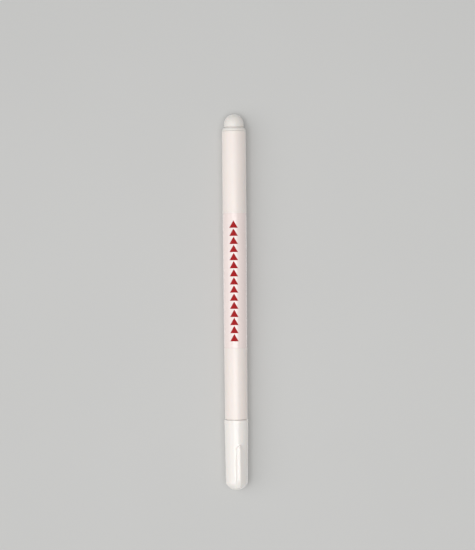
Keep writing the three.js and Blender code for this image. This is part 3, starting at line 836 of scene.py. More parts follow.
def bonded_fibre(colour):
    """Bonded fibre of the wick and the reservoir, matt with streaks along the pen."""
    material, tree, shader, position = new_material("bonded_fibre")
    fibres = effect(tree, "fibre_bundle", {"Position": position})
    dress(tree, shader, {
        "Base Color": mixed(tree, fibres["Tone"], shade(colour, 0.9), shade(colour, 1.0)),
        "Roughness": ramped(tree, fibres["Height"], 0, 1, 0.85, 1.0),
        "Normal": bumped(tree, fibres["Height"], FIBRE_DEPTH),
        "Sheen Weight": 0.3,
        "Sheen Roughness": 0.6,
    })
    return material


def clear_wrap():
    """The thin clear film round the reservoir, wrinkled a little along the pen."""
    material, tree, shader, position = new_material("clear_wrap")
    wrinkles = noise(tree, stretched(tree, position, (1, 0.15, 1)), scale=1500.0, detail=3.0)
    marks = effect(tree, "handling_marks", {"Position": position, "Hairlines": 0.5, "Smudges": 0.3})
    dress(tree, shader, {
        "Base Color": (0.93, 0.95, 0.96, 1.0),
        "Roughness": worn(tree, marks, 0.12, added=0.18),
        "Normal": bumped(tree, wrinkles, WRINKLE_DEPTH),
        "IOR": 1.5,
        "Transmission Weight": 0.85,
    })
    return material


def barrel_radius_at(place, barrel):
    """The barrel's radius: a straight taper from the shoulder, then the straight rear stretch."""
    shoulder = cap_mouth + CAP_SEAM
    reach = [shoulder, shoulder + barrel.taper_length]
    return float(np.interp(place, reach, [barrel.shoulder_radius, barrel.radius]))


def build_barrel(settings):
    """The barrel: a tapered tube whose neck carries the cap, with a shallow seat for the label.

    The outline is turned about the axis. In the bore the radius drops to the reservoir's film in
    the columns of the guide ribs.
    """
    barrel = settings.barrel
    shoulder = cap_mouth + CAP_SEAM
    bore_floor = shoulder + SHOULDER_WALL
    seat_depth = settings.label.film + GLUE_LINE
    seat_front, seat_rear = label_front - LABEL_SEAM, label_rear + LABEL_SEAM
    seat_corners = ((seat_front, 0), (seat_front, seat_depth), (seat_rear, seat_depth), (seat_rear, 0))
    seat = [(barrel_radius_at(place, barrel) - depth, place, LABEL_EDGE) for place, depth in seat_corners]
    rib_rear = prong_front - GUIDE_RIB_SETBACK
    outline = eased([
        (NECK_BORE, neck_end, LEAD_IN / 3),
        (NECK_RADIUS, neck_end, LEAD_IN),
        *bead(NECK_RADIUS, SNAP_HEIGHT, shoulder - SNAP_PLACE, SNAP_WIDTH),
        (NECK_RADIUS, shoulder, barrel.edge),
        (barrel.shoulder_radius, shoulder, barrel.edge),
        *seat,
        (barrel.radius, shoulder + barrel.taper_length, 0),
        (barrel.radius, barrel_rear, barrel.edge),
        (barrel.bore_radius, barrel_rear, LEAD_IN),
        (barrel.bore_radius, rib_rear + FLANK, 0),
        (barrel.bore_radius, rib_rear, 0),
        (barrel.bore_radius, bore_floor, barrel.edge),
        (NECK_BORE, bore_floor, barrel.edge),
    ])
    rib_top = RESERVOIR_RADIUS + GLUE_LINE + FILM_THICKNESS + PRESS_GAP
    angles, in_rib = ribbed_columns(GUIDE_RIBS, GUIDE_RIB_WIDTH, barrel.bore_radius)
    radius, place = turned(outline, angles)
    inner = np.arange(len(outline))[:, None] > outline[:, 1].argmax()
    in_bore = inner & (np.abs(radius - barrel.bore_radius) < MERGED) & (place <= rib_rear)
    radius = np.where(in_bore & in_rib, rib_top, radius)
    mesh = shaped("barrel_tube", radius, place, angles, settings)
    material = plastic("barrel_plastic", barrel.colour, 0.3)
    return finished("barrel_tube", mesh, material, PEN, "barrel")


def build_label(settings):
    """The label: a thin sleeve that follows the barrel's taper and lies flush in its seat."""
    barrel, label = settings.barrel, settings.label
    taper_end = cap_mouth + CAP_SEAM + barrel.taper_length
    places = [label_front, *([taper_end] if label_front < taper_end < label_rear else []), label_rear]
    outside = [(barrel_radius_at(place, barrel), place, LABEL_EDGE) for place in places]
    inside = [(radius - label.film, place, 0) for radius, place, _ in reversed(outside)]
    material = printed_film(label, barrel.radius)
    outline = eased(outside + inside)
    return revolved("label_sleeve", outline, material, PEN, "barrel_label", settings)


def build_plug(settings):
    """The rear plug: a dome on a grooved collar, a rounded flange and a hollow spigot.

    The outline runs from the top of the hollow down its wall and up the outside to the dome. The
    flange's shoulder is an arc that ends at its foot, where the flange has the dome's radius:
    1 - cosine of the foot's angle is the difference over the arc's radius. The crush ribs raise the
    radius of the spigot in their columns, and in the columns between the prongs every point is
    drawn up to the spigot's end.
    """
    plug, barrel = settings.plug, settings.barrel
    flange_front = barrel_rear + PLUG_SEAM
    flange_rear = flange_front + FLANGE_THICKNESS
    flange_seat = flange_front - PLUG_SEAM / 2
    groove_rear = flange_rear + GROOVE_WIDTH
    foot_angle = math.acos(1 - (FLANGE_RADIUS - plug.dome_radius) / plug.flange_round)
    round_place = flange_rear - plug.flange_round * math.sin(foot_angle)
    round_middle = (FLANGE_RADIUS - plug.flange_round, round_place)
    dome_middle = plug_top - plug.dome_radius
    spigot_radius = barrel.bore_radius - SPIGOT_PLAY
    spigot_front = flange_front - SPIGOT_LENGTH
    hollow = spigot_radius - PLUG_WALL
    groove = plug.dome_radius - GROOVE_DEPTH
    gate_angle = math.asin(GATE_ROWS[-1] / plug.dome_radius)
    gate_places = dome_middle + np.sqrt(plug.dome_radius**2 - GATE_ROWS**2) - gate_depth(GATE_ROWS)
    edge = barrel.edge
    outline = eased([
        *arc((0, dome_middle), hollow, QUARTER, 0, DOME_STEPS // 2),
        (hollow, spigot_front + FLANK, 0),
        (hollow, spigot_front, 0),
        (hollow, prong_front, edge / 2),
        (spigot_radius, prong_front, LEAD_IN),
        (spigot_radius, spigot_front, 0),
        (spigot_radius, spigot_front + FLANK, 0),
        (spigot_radius, flange_front - edge - FLANK, 0),
        (spigot_radius, flange_front - edge, 0),
        (spigot_radius, flange_seat, edge / 3),
        (FLANGE_RADIUS, flange_seat, edge / 2),
        *arc(round_middle, plug.flange_round, 0, foot_angle, 2 * ARC_STEPS),
        (groove, flange_rear, edge / 3),
        (groove, groove_rear - edge / 2, edge / 3),
        (plug.dome_radius, groove_rear, edge / 2),
        *arc((0, dome_middle), plug.dome_radius, 0, QUARTER - gate_angle)[:-1],
        *((radius, place, 0) for radius, place in zip(GATE_ROWS[::-1], gate_places[::-1])),
    ], ring=False)
    rib_angles, _ = ribbed_columns(CRUSH_RIBS, CRUSH_RIB_WIDTH, spigot_radius)
    slot_centres, slot_half = spread(PRONGS), math.asin(PRONG_SLOT_WIDTH / 2 / spigot_radius)
    slot_angles = column_angles(slot_centres, slot_half, FLANK / spigot_radius)
    angles = distinct(np.concatenate([rib_angles, slot_angles]))
    in_rib = within(angles, spread(CRUSH_RIBS), CRUSH_RIB_WIDTH / 2 / spigot_radius)
    radius, place = turned(outline, angles)
    on_spigot = (np.abs(radius - spigot_radius) < MERGED) & (place > spigot_front + FLANK / 2)
    on_spigot &= place < flange_front - edge - FLANK / 2
    radius = np.where(on_spigot & in_rib, barrel.bore_radius * facet_share(settings) - PRESS_GAP, radius)
    place = np.where(within(angles, slot_centres, slot_half), np.maximum(place, spigot_front), place)
    mesh = shaped("end_plug", radius, place, angles, settings, ring=False)
    material = plastic("plug_plastic", plug.colour, 0.36, waves=0.8)
    return finished("end_plug", mesh, material, PEN, "rear_plug")


def nose_radius_at(place, writing_end):
    """The nose cone's side: straight between its two ends, with a bulge of 4 x share x (1 - share)."""
    flange_front = neck_end - SEAT_GAP - NOSE_FLANGE_THICKNESS
    share = (place - nose_end) / (flange_front - nose_end)
    end, base = writing_end.nose_end_radius, writing_end.nose_base_radius
    return end + (base - end) * share + 4 * writing_end.nose_bulge * share * (1 - share)


def build_nose(settings):
    """The nose cone: a plug in the neck, a flange on its end and a hollow cone for the tip.

    In the columns of the vents the plug's radius is less and the flange's rear face lies lower, so
    that air can pass into the barrel.
    """
    writing_end, edge = settings.writing_end, settings.barrel.edge
    flange_seat = neck_end - SEAT_GAP
    flange_front = flange_seat - NOSE_FLANGE_THICKNESS
    plug_radius = NECK_BORE - PRESS_GAP
    tip_hole = TIP_SHANK_RADIUS + PRESS_GAP
    wick_hole = WICK_RADIUS + PRESS_GAP
    tip_seat = nose_end + TIP_SHANK_LENGTH
    core_front = nose_plug_rear - NOSE_CORE_LENGTH
    vent_floor, vent_radius = flange_seat - VENT_DEPTH, plug_radius - VENT_DEPTH
    side = np.linspace(nose_end, flange_front, DOME_STEPS // 2)
    outline = eased([
        (tip_hole, nose_end, edge / 2),
        (writing_end.nose_end_radius, nose_end, edge),
        *((nose_radius_at(place, writing_end), place, 0) for place in side[1:-1]),
        (nose_radius_at(flange_front, writing_end), flange_front, edge),
        (NOSE_FLANGE_RADIUS, flange_front, edge),
        (NOSE_FLANGE_RADIUS, vent_floor - FLANK, 0),
        (NOSE_FLANGE_RADIUS, flange_seat, edge / 2),
        (plug_radius, flange_seat, 0),
        (plug_radius, nose_plug_rear, LEAD_IN),
        (NOSE_CORE_RADIUS, nose_plug_rear, edge),
        (NOSE_CORE_RADIUS, core_front, edge),
        (wick_hole, core_front - LEAD_IN, edge / 3),
        (wick_hole, tip_seat, 0),
        (tip_hole, tip_seat, 0),
    ])
    angles, in_vent = ribbed_columns(VENTS, VENT_WIDTH, plug_radius)
    radius, place = turned(outline, angles)
    vented = in_vent & (radius > vent_radius)
    on_flange = vented & (radius > plug_radius + SAME_POINT) & (place > flange_front + edge)
    on_plug = vented & ~on_flange & (place >= flange_seat - SAME_POINT)
    at_corner = on_plug & (place < flange_seat + SAME_POINT)
    place = np.where(on_flange, np.minimum(place, vent_floor), np.where(at_corner, vent_floor, place))
    radius = np.where(on_plug, vent_radius, radius)
    mesh = shaped("nose_moulding", radius, place, angles, settings)
    material = plastic("natural_plastic", writing_end.nose_colour, 0.4, glow=0.35, soft=0.9 * MM)
    return finished("nose_moulding", mesh, material, PEN, "nose_cone")


def build_tip(settings):
    """The metal tip: a shank, a collar and a turned cone whose rolled lip holds the ball."""
    writing_end = settings.writing_end
    socket = writing_end.ball_radius + BALL_PLAY
    collar_seat = nose_end - SEAT_GAP
    throat_rear = ball_middle + TIP_THROAT_LENGTH
    lip_angle = math.asin((tip_lip - ball_middle) / socket)
    seat_angle = math.acos(TIP_THROAT_RADIUS / socket)
    lip_radius = socket * math.cos(lip_angle)
    outline = eased([
        (lip_radius + TIP_LIP_WALL, tip_lip, METAL_EDGE / 2),
        (socket + TIP_SOCKET_WALL, ball_middle, 3 * METAL_EDGE),
        (writing_end.tip_radius, collar_seat - TIP_COLLAR_LENGTH, 2 * METAL_EDGE),
        (writing_end.tip_radius, collar_seat, METAL_EDGE),
        (TIP_SHANK_RADIUS, collar_seat, METAL_EDGE),
        (TIP_SHANK_RADIUS, tip_rear, 2 * METAL_EDGE),
        (TIP_BORE_RADIUS, tip_rear, METAL_EDGE),
        (TIP_BORE_RADIUS, throat_rear, 0),
        (TIP_THROAT_RADIUS, throat_rear - 3 * METAL_EDGE, 0),
        *arc((0, ball_middle), socket, seat_angle, lip_angle, DOME_STEPS // 3),
    ])
    material = turned_metal("turned_nickel", writing_end.metal_colour, 0.2, TURNED_RINGS)
    return revolved("metal_tip", outline, material, PEN, "tip_socket", settings)


def build_ball(settings):
    """The writing ball: a circle's half turned about the pen's axis."""
    radius = settings.writing_end.ball_radius
    outline = held(np.array(arc((0, ball_middle), radius, -QUARTER, QUARTER))[:, :2])
    material = turned_metal("polished_ball", settings.writing_end.ball_colour, 0.06, POLISHED_RINGS)
    return revolved("hard_ball", outline, material, BALL, "writing_ball", settings, ring=False)


def build_fibres(settings):
    """The wick, the reservoir with its wick hole, and the film round it."""
    tip_seat = nose_end + TIP_SHANK_LENGTH
    throat_rear = ball_middle + TIP_THROAT_LENGTH
    wick = eased([
        (0, wick_front, 0),
        (WICK_POINT_RADIUS, wick_front, FIBRE_EDGE / 2),
        (WICK_POINT_RADIUS, throat_rear, 0),
        (WICK_STEM_RADIUS, throat_rear + FIBRE_EDGE, 0),
        (WICK_STEM_RADIUS, tip_seat, 0),
        (WICK_RADIUS, tip_seat + FIBRE_EDGE, 0),
        (WICK_RADIUS, wick_rear, FIBRE_EDGE),
        (0, wick_rear, 0),
    ], ring=False)
    hole = WICK_RADIUS + PRESS_GAP
    hole_end = wick_rear + SEAT_GAP
    reservoir = eased([
        (0, hole_end, 0),
        (hole, hole_end, 0),
        (hole, reservoir_front, FIBRE_EDGE),
        (RESERVOIR_RADIUS, reservoir_front, FIBRE_EDGE),
        (RESERVOIR_RADIUS, reservoir_rear, FIBRE_EDGE),
        (0, reservoir_rear, 0),
    ], ring=False)
    inside = RESERVOIR_RADIUS + GLUE_LINE
    wrap = eased([
        (inside, reservoir_front, 0),
        (inside + FILM_THICKNESS, reservoir_front, 0),
        (inside + FILM_THICKNESS, reservoir_rear, 0),
        (inside, reservoir_rear, 0),
    ])
    fibre = bonded_fibre(settings.writing_end.fibre_colour)
    revolved("ink_wick", wick, fibre, PEN, "feed_wick", settings, ring=False)
    revolved("ink_rod", reservoir, fibre, PEN, "ink_reservoir", settings, ring=False)
    revolved("rod_wrap", wrap, clear_wrap(), PEN, "reservoir_film", settings)


def step_profile(size, height):
    """A step seen from its side: an arc at its foot and one at its edge, with a wall between.

    Gives the offset across the step, from minus size at the foot to plus size at the edge, and the
    share of the height that is reached there.
    """
    angle = np.linspace(0, QUARTER, ARC_STEPS + 1)
    share = size / height
    slow, quick = 1 - np.cos(angle), 1 - np.sin(angle)
    offset = np.concatenate([-size * quick - STEP_HAIR, size * slow + STEP_HAIR])
    rise = np.concatenate([share * slow, 1 - share * quick])
    return offset, rise


def cap_outside(cap, lip_radius):
    """The cap's outside radius as a function of the place, and the place where the dome begins."""
    dome_middle = cap_apex + cap.dome_radius
    dome_edge = dome_middle - cap.dome_radius * math.sin(math.acos(cap.end_radius / cap.dome_radius))
    side_top = cap_mouth - CAP_LIP_LENGTH - CAP_LIP_STEP

    def radius_at(place):
        """The dome's circle in front of the dome's edge, and a straight side behind it."""
        side = np.interp(place, [dome_edge, side_top], [cap.end_radius, lip_radius - CAP_LIP_STEP])
        below = np.clip(dome_middle - place, 0, cap.dome_radius)
        return np.where(place < dome_edge, np.sqrt(cap.dome_radius**2 - below**2), side)

    return radius_at, dome_middle, dome_edge


def soft_side(cap, lateral):
    """How far the rib's soft side has fallen at a distance across its middle plane.

    From the level stretch on it follows a circle, radius - sqrt(radius^2 - run^2), and from where
    that has the soft side's slope it goes on straight.
    """
    run = np.maximum(lateral - cap.rib_level, 0)
    on_arc = np.minimum(run, cap.rib_soft_radius * math.sin(cap.rib_soft_slope))
    fallen = cap.rib_soft_radius - np.sqrt(cap.rib_soft_radius**2 - on_arc**2)
    return fallen + (run - on_arc) * math.tan(cap.rib_soft_slope)


def cap_columns(cap):
    """The cap's columns, and how much of the rib's height each of them takes.

    Over the rib a column is set by its distance across the rib's middle plane, and further round by
    its angle. The height rises in a quarter of an ellipse from the foot of the rib's steep side,
    stays over its top and fades out smoothly over its soft side.
    """
    edge_angle = np.linspace(0, QUARTER, 2 * ARC_STEPS + 1)
    steep = -cap.rib_foot + cap.rib_edge * (1 - np.cos(edge_angle))
    level = np.linspace(steep[-1], cap.rib_level, RIB_TOP_COLUMNS + 1)[1:]
    across = np.concatenate([[-cap.rib_foot - FLANK], steep, level])
    over_rib = np.arcsin(across / cap.end_radius)
    further = np.linspace(over_rib[-1], FULL_TURN + over_rib[0], AROUND)[1:-1]
    fading = np.clip((further - over_rib[-1]) / (cap.rib_run_out - over_rib[-1]), 0, 1)
    height = np.concatenate([[0], np.sin(edge_angle), np.ones(len(level)), 1 - smooth(fading)])
    fading = np.concatenate([np.zeros(len(across)), fading])
    return across, np.concatenate([over_rib, further]), fading, height


def cap_rows(cap, dome_middle, dome_edge, rib_height):
    """The cap's rows from the dome's top to the lip band, how much of the rib's height each of them
    takes, and the rows of the rib's start. The rib rises and ends in a step's profile."""
    rib_rear = cap_apex + cap.rib_end
    offset, rise = step_profile(cap.rib_rounding, rib_height)
    foot_angle = math.acos((dome_middle - rib_rear + cap.rib_rounding) / cap.dome_radius)
    gate_angles = np.arcsin(GATE_ROWS / cap.dome_radius)
    past_gate = np.linspace(gate_angles[-1], foot_angle, DOME_STEPS // 2)[1:-1]
    apex = dome_middle - cap.dome_radius * np.cos(np.concatenate([gate_angles, past_gate]))
    end = rib_rear + offset
    start = cap_mouth - cap.rib_start - offset[::-1]
    dome = np.linspace(end[-1], dome_edge, DOME_STEPS // 2)[1:-1]
    side = np.linspace(dome_edge, start[0], CAP_SIDE_ROWS + 1)[:-1]
    last = cap_mouth - CAP_LIP_LENGTH - 3 * CAP_LIP_STEP
    behind = np.linspace(start[-1], last, CAP_REAR_ROWS + 1)[1:]
    full = np.ones(len(dome) + len(side))
    height = np.concatenate([np.zeros(len(apex)), rise, full, rise[::-1], np.zeros(len(behind))])
    return np.concatenate([apex, end, dome, side, start, behind]), height, start


def rib_surface(cap, x, below):
    """The height of the rib's top over the cap's axis.

    Along the cap it keeps its distance from the dome's middle, sqrt(top^2 - below^2). Across, it
    follows a parabola that is turned back towards level, and falls on its soft side.
    """
    over_rib = np.clip(x, -cap.rib_foot, cap.rib_level)
    crowned = over_rib * math.tan(cap.rib_tilt) - over_rib**2 / (2 * cap.rib_crown)
    return np.sqrt(cap.rib_top**2 - below**2) + crowned - soft_side(cap, x)


def cap_skin(cap, lip_radius):
    """The cap's outside about its own axis, with the rib's middle plane upright.

    Gives each point's x, place and z, and the columns' angles. The surface stands on the turned
    side, and over the rib it is lifted towards the rib's top by the product of the columns' share
    and the rows'. Its soft side also rises ever more slowly along the cap towards its border. The
    rows lean with the rib's obliquely cut end, and the lean fades out round the far side.
    """
    radius_at, dome_middle, dome_edge = cap_outside(cap, lip_radius)
    across, columns, fading, height_across = cap_columns(cap)
    rib_height = cap.rib_top - (cap.end_radius + lip_radius) / 2
    rows, height_along, start = cap_rows(cap, dome_middle, dome_edge, rib_height)
    lateral = np.concatenate([across, np.zeros(len(columns) - len(across))])
    on_rib = np.arange(len(columns)) < len(across)

    oblique = cap.rib_slant * np.clip((cap.rib_level - lateral) / (cap.rib_level + cap.rib_foot), 0, 1)
    far_side = cap.rib_slant * (1 - smooth((FULL_TURN + columns[0] - columns) / QUARTER))
    lean = np.where(on_rib, oblique, np.where(columns > math.pi, far_side, 0))
    leaning = np.interp(rows, [dome_edge, start[0], start[-1], rows[-1]], [0, 1, 1, 0])
    place = rows[:, None] - leaning[:, None] * lean
    base = radius_at(place)
    place = place + gate_depth(base)

    widest = np.maximum(base, float(radius_at(np.array(cap_apex + cap.rib_end))))
    first, last = np.arcsin(across[-1] / widest), FULL_TURN + np.arcsin(across[0] / widest)
    zone_end = columns[len(across) - 1]
    share_round = (columns - zone_end) / (FULL_TURN + columns[0] - zone_end)
    angle = np.where(on_rib, np.arcsin(lateral / widest), first + share_round * (last - first))
    x, z = base * np.sin(angle), base * np.cos(angle)

    below = np.clip(dome_middle - place, 0, cap.dome_radius)
    top = np.maximum(rib_surface(cap, x, below), z)
    lead = 2 * cap.rib_rounding + cap.rib_lead * fading
    risen = smooth((cap_mouth - cap.rib_start + cap.rib_rounding - rows[:, None]) / lead)
    lift = np.where(on_rib, 1, risen) * height_along[:, None] * height_across
    return x, place, z + lift * (top - z), columns


def cap_inside(settings, last_radius, last_place):
    """The outline from the outside's last row round the lip band and down the stepped cavity."""
    edge, lip_radius = settings.barrel.edge, settings.barrel.radius
    lip_bottom = cap_mouth - CAP_LIP_LENGTH
    bore = NECK_RADIUS + CAP_FIT
    groove_middle = cap_mouth + CAP_SEAM - SNAP_PLACE
    cavity_step = liner_mouth + LINER_SETBACK
    floor = cap_apex + CAP_END_WALL
    floor_radius = LINER_END_RADIUS + LINER_WALL + 2 * PRESS_GAP
    corner_reach = CAP_CAVITY_RADIUS - CAP_CAVITY_DRAFT - floor_radius
    corner = [
        (floor_radius + corner_reach * math.cos(a), floor + CAP_CAVITY_ROUNDING * (1 - math.sin(a)), 0)
        for a in np.linspace(0, QUARTER, DOME_STEPS // 3)
    ]
    return eased([
        (last_radius, last_place, 0),
        (lip_radius - CAP_LIP_STEP, lip_bottom - CAP_LIP_STEP, CAP_LIP_STEP),
        (lip_radius, lip_bottom, CAP_LIP_STEP),
        (lip_radius, cap_mouth, edge),
        (bore, cap_mouth, LEAD_IN),
        *reversed(bead(bore, SNAP_HEIGHT, groove_middle, SNAP_WIDTH + 2 * CAP_FIT)),
        (bore, cavity_step, edge / 2),
        (CAP_CAVITY_RADIUS, cavity_step - edge, edge),
        *corner,
        (0, floor, 0),
    ], ring=False)[1:]


def build_cap_shell(settings):
    """The cap: a lip band, a side that narrows to the dome, the rib and the stepped cavity.

    Inside, the outline is plainly turned. The whole is then turned about the axis by the angle at
    which the rib stands off the top line.
    """
    cap = settings.cap
    skin_x, skin_place, skin_z, columns = cap_skin(cap, settings.barrel.radius)
    last_radius = math.hypot(skin_x[-1, -1], skin_z[-1, -1])
    inner_radius, inner_place = turned(cap_inside(settings, last_radius, skin_place[-1, 0]), columns)
    x = np.vstack([skin_x, inner_radius * np.sin(columns)]) * facet_share(settings)
    z = np.vstack([skin_z, inner_radius * np.cos(columns)]) * facet_share(settings)
    cosine, sine = math.cos(cap.rib_turn), math.sin(cap.rib_turn)
    place = np.vstack([skin_place, inner_place])
    points = np.stack([x * cosine + z * sine, place, AXIS_HEIGHT + z * cosine - x * sine], -1)
    mesh = closed_mesh("cap_body", points, False)
    material = plastic("cap_plastic", cap.colour, 0.17, waves=0.5, grain=0.15)
    return finished("cap_body", mesh, material, CAP, "cap_shell")


def build_liner(settings):
    """The liner in the cap: a tapered cup with a flange, and ribs outside that keep it central.

    Its wall is straight inside and outside, and the ribs' columns keep the flange's radius, less a
    press gap.
    """
    writing_end, edge = settings.writing_end, settings.barrel.edge
    mouth_inside = nose_radius_at(liner_mouth, writing_end) + PRESS_GAP
    floor = liner_end + LINER_WALL
    flange_end = liner_mouth - LINER_FLANGE_LENGTH
    flange_radius = CAP_CAVITY_RADIUS - CAP_CAVITY_DRAFT - PRESS_GAP
    end_outside = LINER_END_RADIUS + LINER_WALL
    inside_there = float(np.interp(flange_end, [floor, liner_mouth], [LINER_END_RADIUS, mouth_inside]))
    rib_end = liner_end - SEAT_GAP + CAP_CAVITY_ROUNDING
    wall_places = np.array([rib_end - FLANK, rib_end, flange_end])
    wall = np.interp(wall_places, [liner_end + edge, flange_end], [end_outside, inside_there + LINER_WALL])
    outline = eased([
        (0, liner_end, 0),
        (end_outside, liner_end, edge),
        *((radius, place, 0) for radius, place in zip(wall, wall_places)),
        (flange_radius, flange_end, edge),
        (flange_radius, liner_mouth, edge),
        (mouth_inside, liner_mouth, edge),
        (LINER_END_RADIUS, floor, edge),
        (0, floor, 0),
    ], ring=False)
    angles, in_rib = ribbed_columns(LINER_RIBS, LINER_RIB_WIDTH, flange_radius)
    radius, place = turned(outline, angles)
    outer = np.arange(len(outline))[:, None] <= outline[:, 1].argmax()
    ribbed = outer & in_rib & (place > rib_end - FLANK / 2) & (place < flange_end)
    radius = np.where(ribbed, np.maximum(radius, flange_radius * facet_share(settings) - PRESS_GAP), radius)
    mesh = shaped("sealing_liner", radius, place, angles, settings, ring=False)
    material = plastic("liner_plastic", writing_end.nose_colour, 0.42, glow=0.35, soft=0.9 * MM)
    return finished("sealing_liner", mesh, material, CAP, "inner_cap")


def build_seal(settings):
    """The soft pad in the liner, a disc with a rim round a shallow cup for the ball."""
    face = pad_rim_top - PAD_RIM
    radius = LINER_END_RADIUS - PRESS_GAP
    outline = eased([
        (0, pad_back, 0),
        (radius, pad_back, PAD_EDGE),
        (radius, pad_rim_top, PAD_RIM_EDGE),
        (PAD_CUP_RADIUS, pad_rim_top, PAD_RIM_EDGE),
        (PAD_CUP_RADIUS - PAD_RIM, face, PAD_EDGE),
        (0, face, 0),
    ], ring=False)
    material = plastic("soft_seal", settings.cap.seal_colour, 0.62, waves=0.4, grain=0.8, glow=0.2)
    return revolved("seal_pad", outline, material, CAP, "tip_seal_pad", settings, ring=False)


def either(tree, share, first, last):
    """The first shader where the share is 0, and the last one where it is 1."""
    return add(tree, "ShaderNodeMixShader", {0: share, 1: first.outputs[0], 2: last.outputs[0]}).outputs[0]


def build_floor(stage):
    """A wide plain floor, lowered by a hair so that it doesn't lie in the pen's lowest line."""
    signs = ((-1, -1), (1, -1), (1, 1), (-1, 1))
    corners = [(x * FLOOR_HALF, y * FLOOR_HALF, -FLOOR_DROP) for x, y in signs]
    mesh = bpy.data.meshes.new("floor")
    mesh.from_pydata(corners, [], [(0, 1, 2, 3)])
    material, tree, shader, position = new_material("floor_paint")
    tone = ramped(tree, noise(tree, position, scale=14.0, detail=3.0), 0.3, 0.7)
    dress(tree, shader, {
        "Base Color": mixed(tree, tone, shade(stage.floor_colour, 0.99), shade(stage.floor_colour, 1.0)),
        "Roughness": 0.8,
        "Specular IOR Level": 0.2,
    })
    glow = add(tree, "ShaderNodeEmission", {"Color": shade(stage.table_colour, 1.0)})
    path = tree.nodes.new("ShaderNodeLightPath").outputs
    both = either(tree, path["Is Glossy Ray"], shader, glow)
    put(tree, tree.nodes["Material Output"].inputs["Surface"], both)
    mesh.materials.append(material)
    new_object("floor", mesh)


def build_sky(stage):
    """Even light from all round. The camera and reflections see a plain pale tone instead."""
    world = bpy.data.worlds.new("studio")
    bpy.context.scene.world = world
    world.use_nodes = True
    tree = world.node_tree
    tree.nodes.clear()
    path = tree.nodes.new("ShaderNodeLightPath").outputs
    seen = maths(tree, "MAXIMUM", path["Is Camera Ray"], path["Is Glossy Ray"])
    seen = maths(tree, "MAXIMUM", seen, path["Is Transmission Ray"])
    light = add(tree, "ShaderNodeBackground", {"Color": (1, 1, 1, 1), "Strength": stage.sky_light})
    view = add(tree, "ShaderNodeBackground", {"Color": shade(stage.sky_colour, 1.0), "Strength": 1.0})
    add(tree, "ShaderNodeOutputWorld", {"Surface": either(tree, seen, light, view)})


def stand(item, place, right, up):
    """Places a lamp or the camera, which look along their own -Z, by two of their directions."""
    facing = Matrix((right, up, right.cross(up))).transposed().to_4x4()
    item.matrix_world = Matrix.Translation(place) @ facing


def build_lights(stage):
    """A wide soft light on the left and a soft box over the pen, which faces the pen's middle."""
    key = bpy.data.lights.new("key_light", "SUN")
    key.energy = math.pi * stage.key_light
    key.angle = stage.key_width
    new_object("key_light", key).matrix_world = Matrix.Rotation(-stage.key_lean, 4, "Y")

    box = bpy.data.lights.new("overhead_light", "AREA")
    box.shape = "RECTANGLE"
    box.size, box.size_y = BOX_ACROSS, BOX_ALONG
    box.energy = stage.box_light
    back = (BOX_PLACE - Vector((0, 0, AXIS_HEIGHT))).normalized()
    right = Vector((0, 1, 0)).cross(back).normalized()
    stand(new_object("overhead_light", box), BOX_PLACE, right, back.cross(right))


def build_camera(stage):
    """The camera straight over the pen, placed so that the pen's ends fall on the photograph's pixels.

    The pen's length in pixels gives the size of a pixel at the pen, the lens then gives the
    camera's height, and the line between the two ends gives its small roll.
    """
    line = PEN_END_PIXEL - PEN_TOP_PIXEL
    pixel = (plug_top - cap_apex) / line.length
    roll = math.atan2(line.x, line.y)
    right = Vector((math.cos(roll), -math.sin(roll), 0))
    up = Vector((math.sin(roll), math.cos(roll), 0))
    off_centre = (Vector((PHOTO_WIDTH / 2, PHOTO_HEIGHT / 2)) - PEN_TOP_PIXEL) * pixel
    aim = Vector((0, plug_top, AXIS_HEIGHT)) + right * off_centre.x - up * off_centre.y
    distance = PHOTO_HEIGHT * pixel * stage.lens / SENSOR_WIDTH
    lens = bpy.data.cameras.new("camera")
    lens.lens = stage.lens
    lens.sensor_width = SENSOR_WIDTH
    lens.clip_start, lens.clip_end = NEAREST_SEEN, FARTHEST_SEEN
    camera = new_object("camera", lens)
    stand(camera, aim + Vector((0, 0, distance)), right, up)
    bpy.context.scene.camera = camera


class FABRIC_PEN_OT_barrel(bpy.types.Operator):
    """Build the barrel with its neck"""

    bl_idname = "fabric_pen.barrel"
    bl_label = "Barrel"
    bl_options = {"REGISTER", "UNDO"}

    def execute(self, context):
        build_barrel(context.scene.fabric_pen)
        return {"FINISHED"}


class FABRIC_PEN_OT_label(bpy.types.Operator):
    """Build the printed film round the barrel"""

    bl_idname = "fabric_pen.label"
    bl_label = "Label"
    bl_options = {"REGISTER", "UNDO"}

    def execute(self, context):
        build_label(context.scene.fabric_pen)
        return {"FINISHED"}


class FABRIC_PEN_OT_plug(bpy.types.Operator):
    """Build the domed rear plug"""

    bl_idname = "fabric_pen.plug"
    bl_label = "Rear plug"
    bl_options = {"REGISTER", "UNDO"}

    def execute(self, context):
        build_plug(context.scene.fabric_pen)
        return {"FINISHED"}


class FABRIC_PEN_OT_nose(bpy.types.Operator):
    """Build the nose cone in the neck"""

    bl_idname = "fabric_pen.nose"
    bl_label = "Nose cone"
    bl_options = {"REGISTER", "UNDO"}

    def execute(self, context):
        build_nose(context.scene.fabric_pen)
        return {"FINISHED"}


class FABRIC_PEN_OT_point(bpy.types.Operator):
    """Build the metal tip and the ball that it holds"""

    bl_idname = "fabric_pen.point"
    bl_label = "Tip and ball"
    bl_options = {"REGISTER", "UNDO"}

    def execute(self, context):
        build_tip(context.scene.fabric_pen)
        build_ball(context.scene.fabric_pen)
        return {"FINISHED"}


class FABRIC_PEN_OT_fibres(bpy.types.Operator):
    """Build the wick, the reservoir and its film"""

    bl_idname = "fabric_pen.fibres"
    bl_label = "Wick and reservoir"
    bl_options = {"REGISTER", "UNDO"}

    def execute(self, context):
        build_fibres(context.scene.fabric_pen)
        return {"FINISHED"}


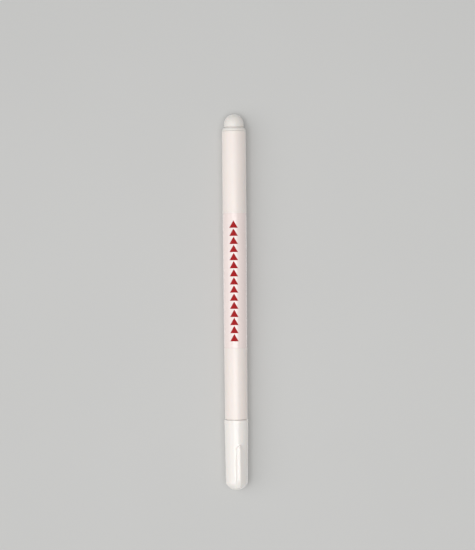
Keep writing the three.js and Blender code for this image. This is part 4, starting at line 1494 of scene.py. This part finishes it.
class FABRIC_PEN_OT_cap(bpy.types.Operator):
    """Build the ribbed cap"""

    bl_idname = "fabric_pen.cap"
    bl_label = "Cap"
    bl_options = {"REGISTER", "UNDO"}

    def execute(self, context):
        build_cap_shell(context.scene.fabric_pen)
        return {"FINISHED"}


class FABRIC_PEN_OT_seal(bpy.types.Operator):
    """Build the liner and the seal pad in the cap"""

    bl_idname = "fabric_pen.seal"
    bl_label = "Liner and seal"
    bl_options = {"REGISTER", "UNDO"}

    def execute(self, context):
        build_liner(context.scene.fabric_pen)
        build_seal(context.scene.fabric_pen)
        return {"FINISHED"}


class FABRIC_PEN_OT_stage(bpy.types.Operator):
    """Build the floor, the lights and the camera"""

    bl_idname = "fabric_pen.stage"
    bl_label = "Stage"
    bl_options = {"REGISTER", "UNDO"}

    def execute(self, context):
        stage = context.scene.fabric_pen.stage
        build_floor(stage)
        build_sky(stage)
        build_lights(stage)
        build_camera(stage)
        context.scene.view_settings.view_transform = "Standard"
        return {"FINISHED"}


OPERATORS = (
    FABRIC_PEN_OT_barrel,
    FABRIC_PEN_OT_label,
    FABRIC_PEN_OT_plug,
    FABRIC_PEN_OT_nose,
    FABRIC_PEN_OT_point,
    FABRIC_PEN_OT_fibres,
    FABRIC_PEN_OT_cap,
    FABRIC_PEN_OT_seal,
    FABRIC_PEN_OT_stage,
)


class FABRIC_PEN_PT_panel(bpy.types.Panel):
    """Lists the pieces of the fabric pen and its stage"""

    bl_idname = "FABRIC_PEN_PT_panel"
    bl_label = "Fabric pen"
    bl_space_type = "VIEW_3D"
    bl_region_type = "UI"
    bl_category = "Fabric pen"

    def draw(self, context):
        for operator in OPERATORS:
            self.layout.operator(operator.bl_idname)


CLASSES = (
    BarrelSettings,
    LabelSettings,
    PlugSettings,
    WritingEndSettings,
    CapSettings,
    StageSettings,
    FabricPenSettings,
    *OPERATORS,
    FABRIC_PEN_PT_panel,
)


def register():
    """Registers the settings, the operators and the panel."""
    for item in CLASSES:
        bpy.utils.register_class(item)
    bpy.types.Scene.fabric_pen = PointerProperty(type=FabricPenSettings)


def unregister():
    """Takes them away again, last ones first."""
    del bpy.types.Scene.fabric_pen
    for item in reversed(CLASSES):
        bpy.utils.unregister_class(item)


def main():
    """Builds the pen and its stage."""
    register()
    bpy.ops.fabric_pen.stage()
    bpy.ops.fabric_pen.barrel()
    bpy.ops.fabric_pen.label()
    bpy.ops.fabric_pen.plug()
    bpy.ops.fabric_pen.nose()
    bpy.ops.fabric_pen.point()
    bpy.ops.fabric_pen.fibres()
    bpy.ops.fabric_pen.cap()
    bpy.ops.fabric_pen.seal()


if __name__ == "__main__":
    main()
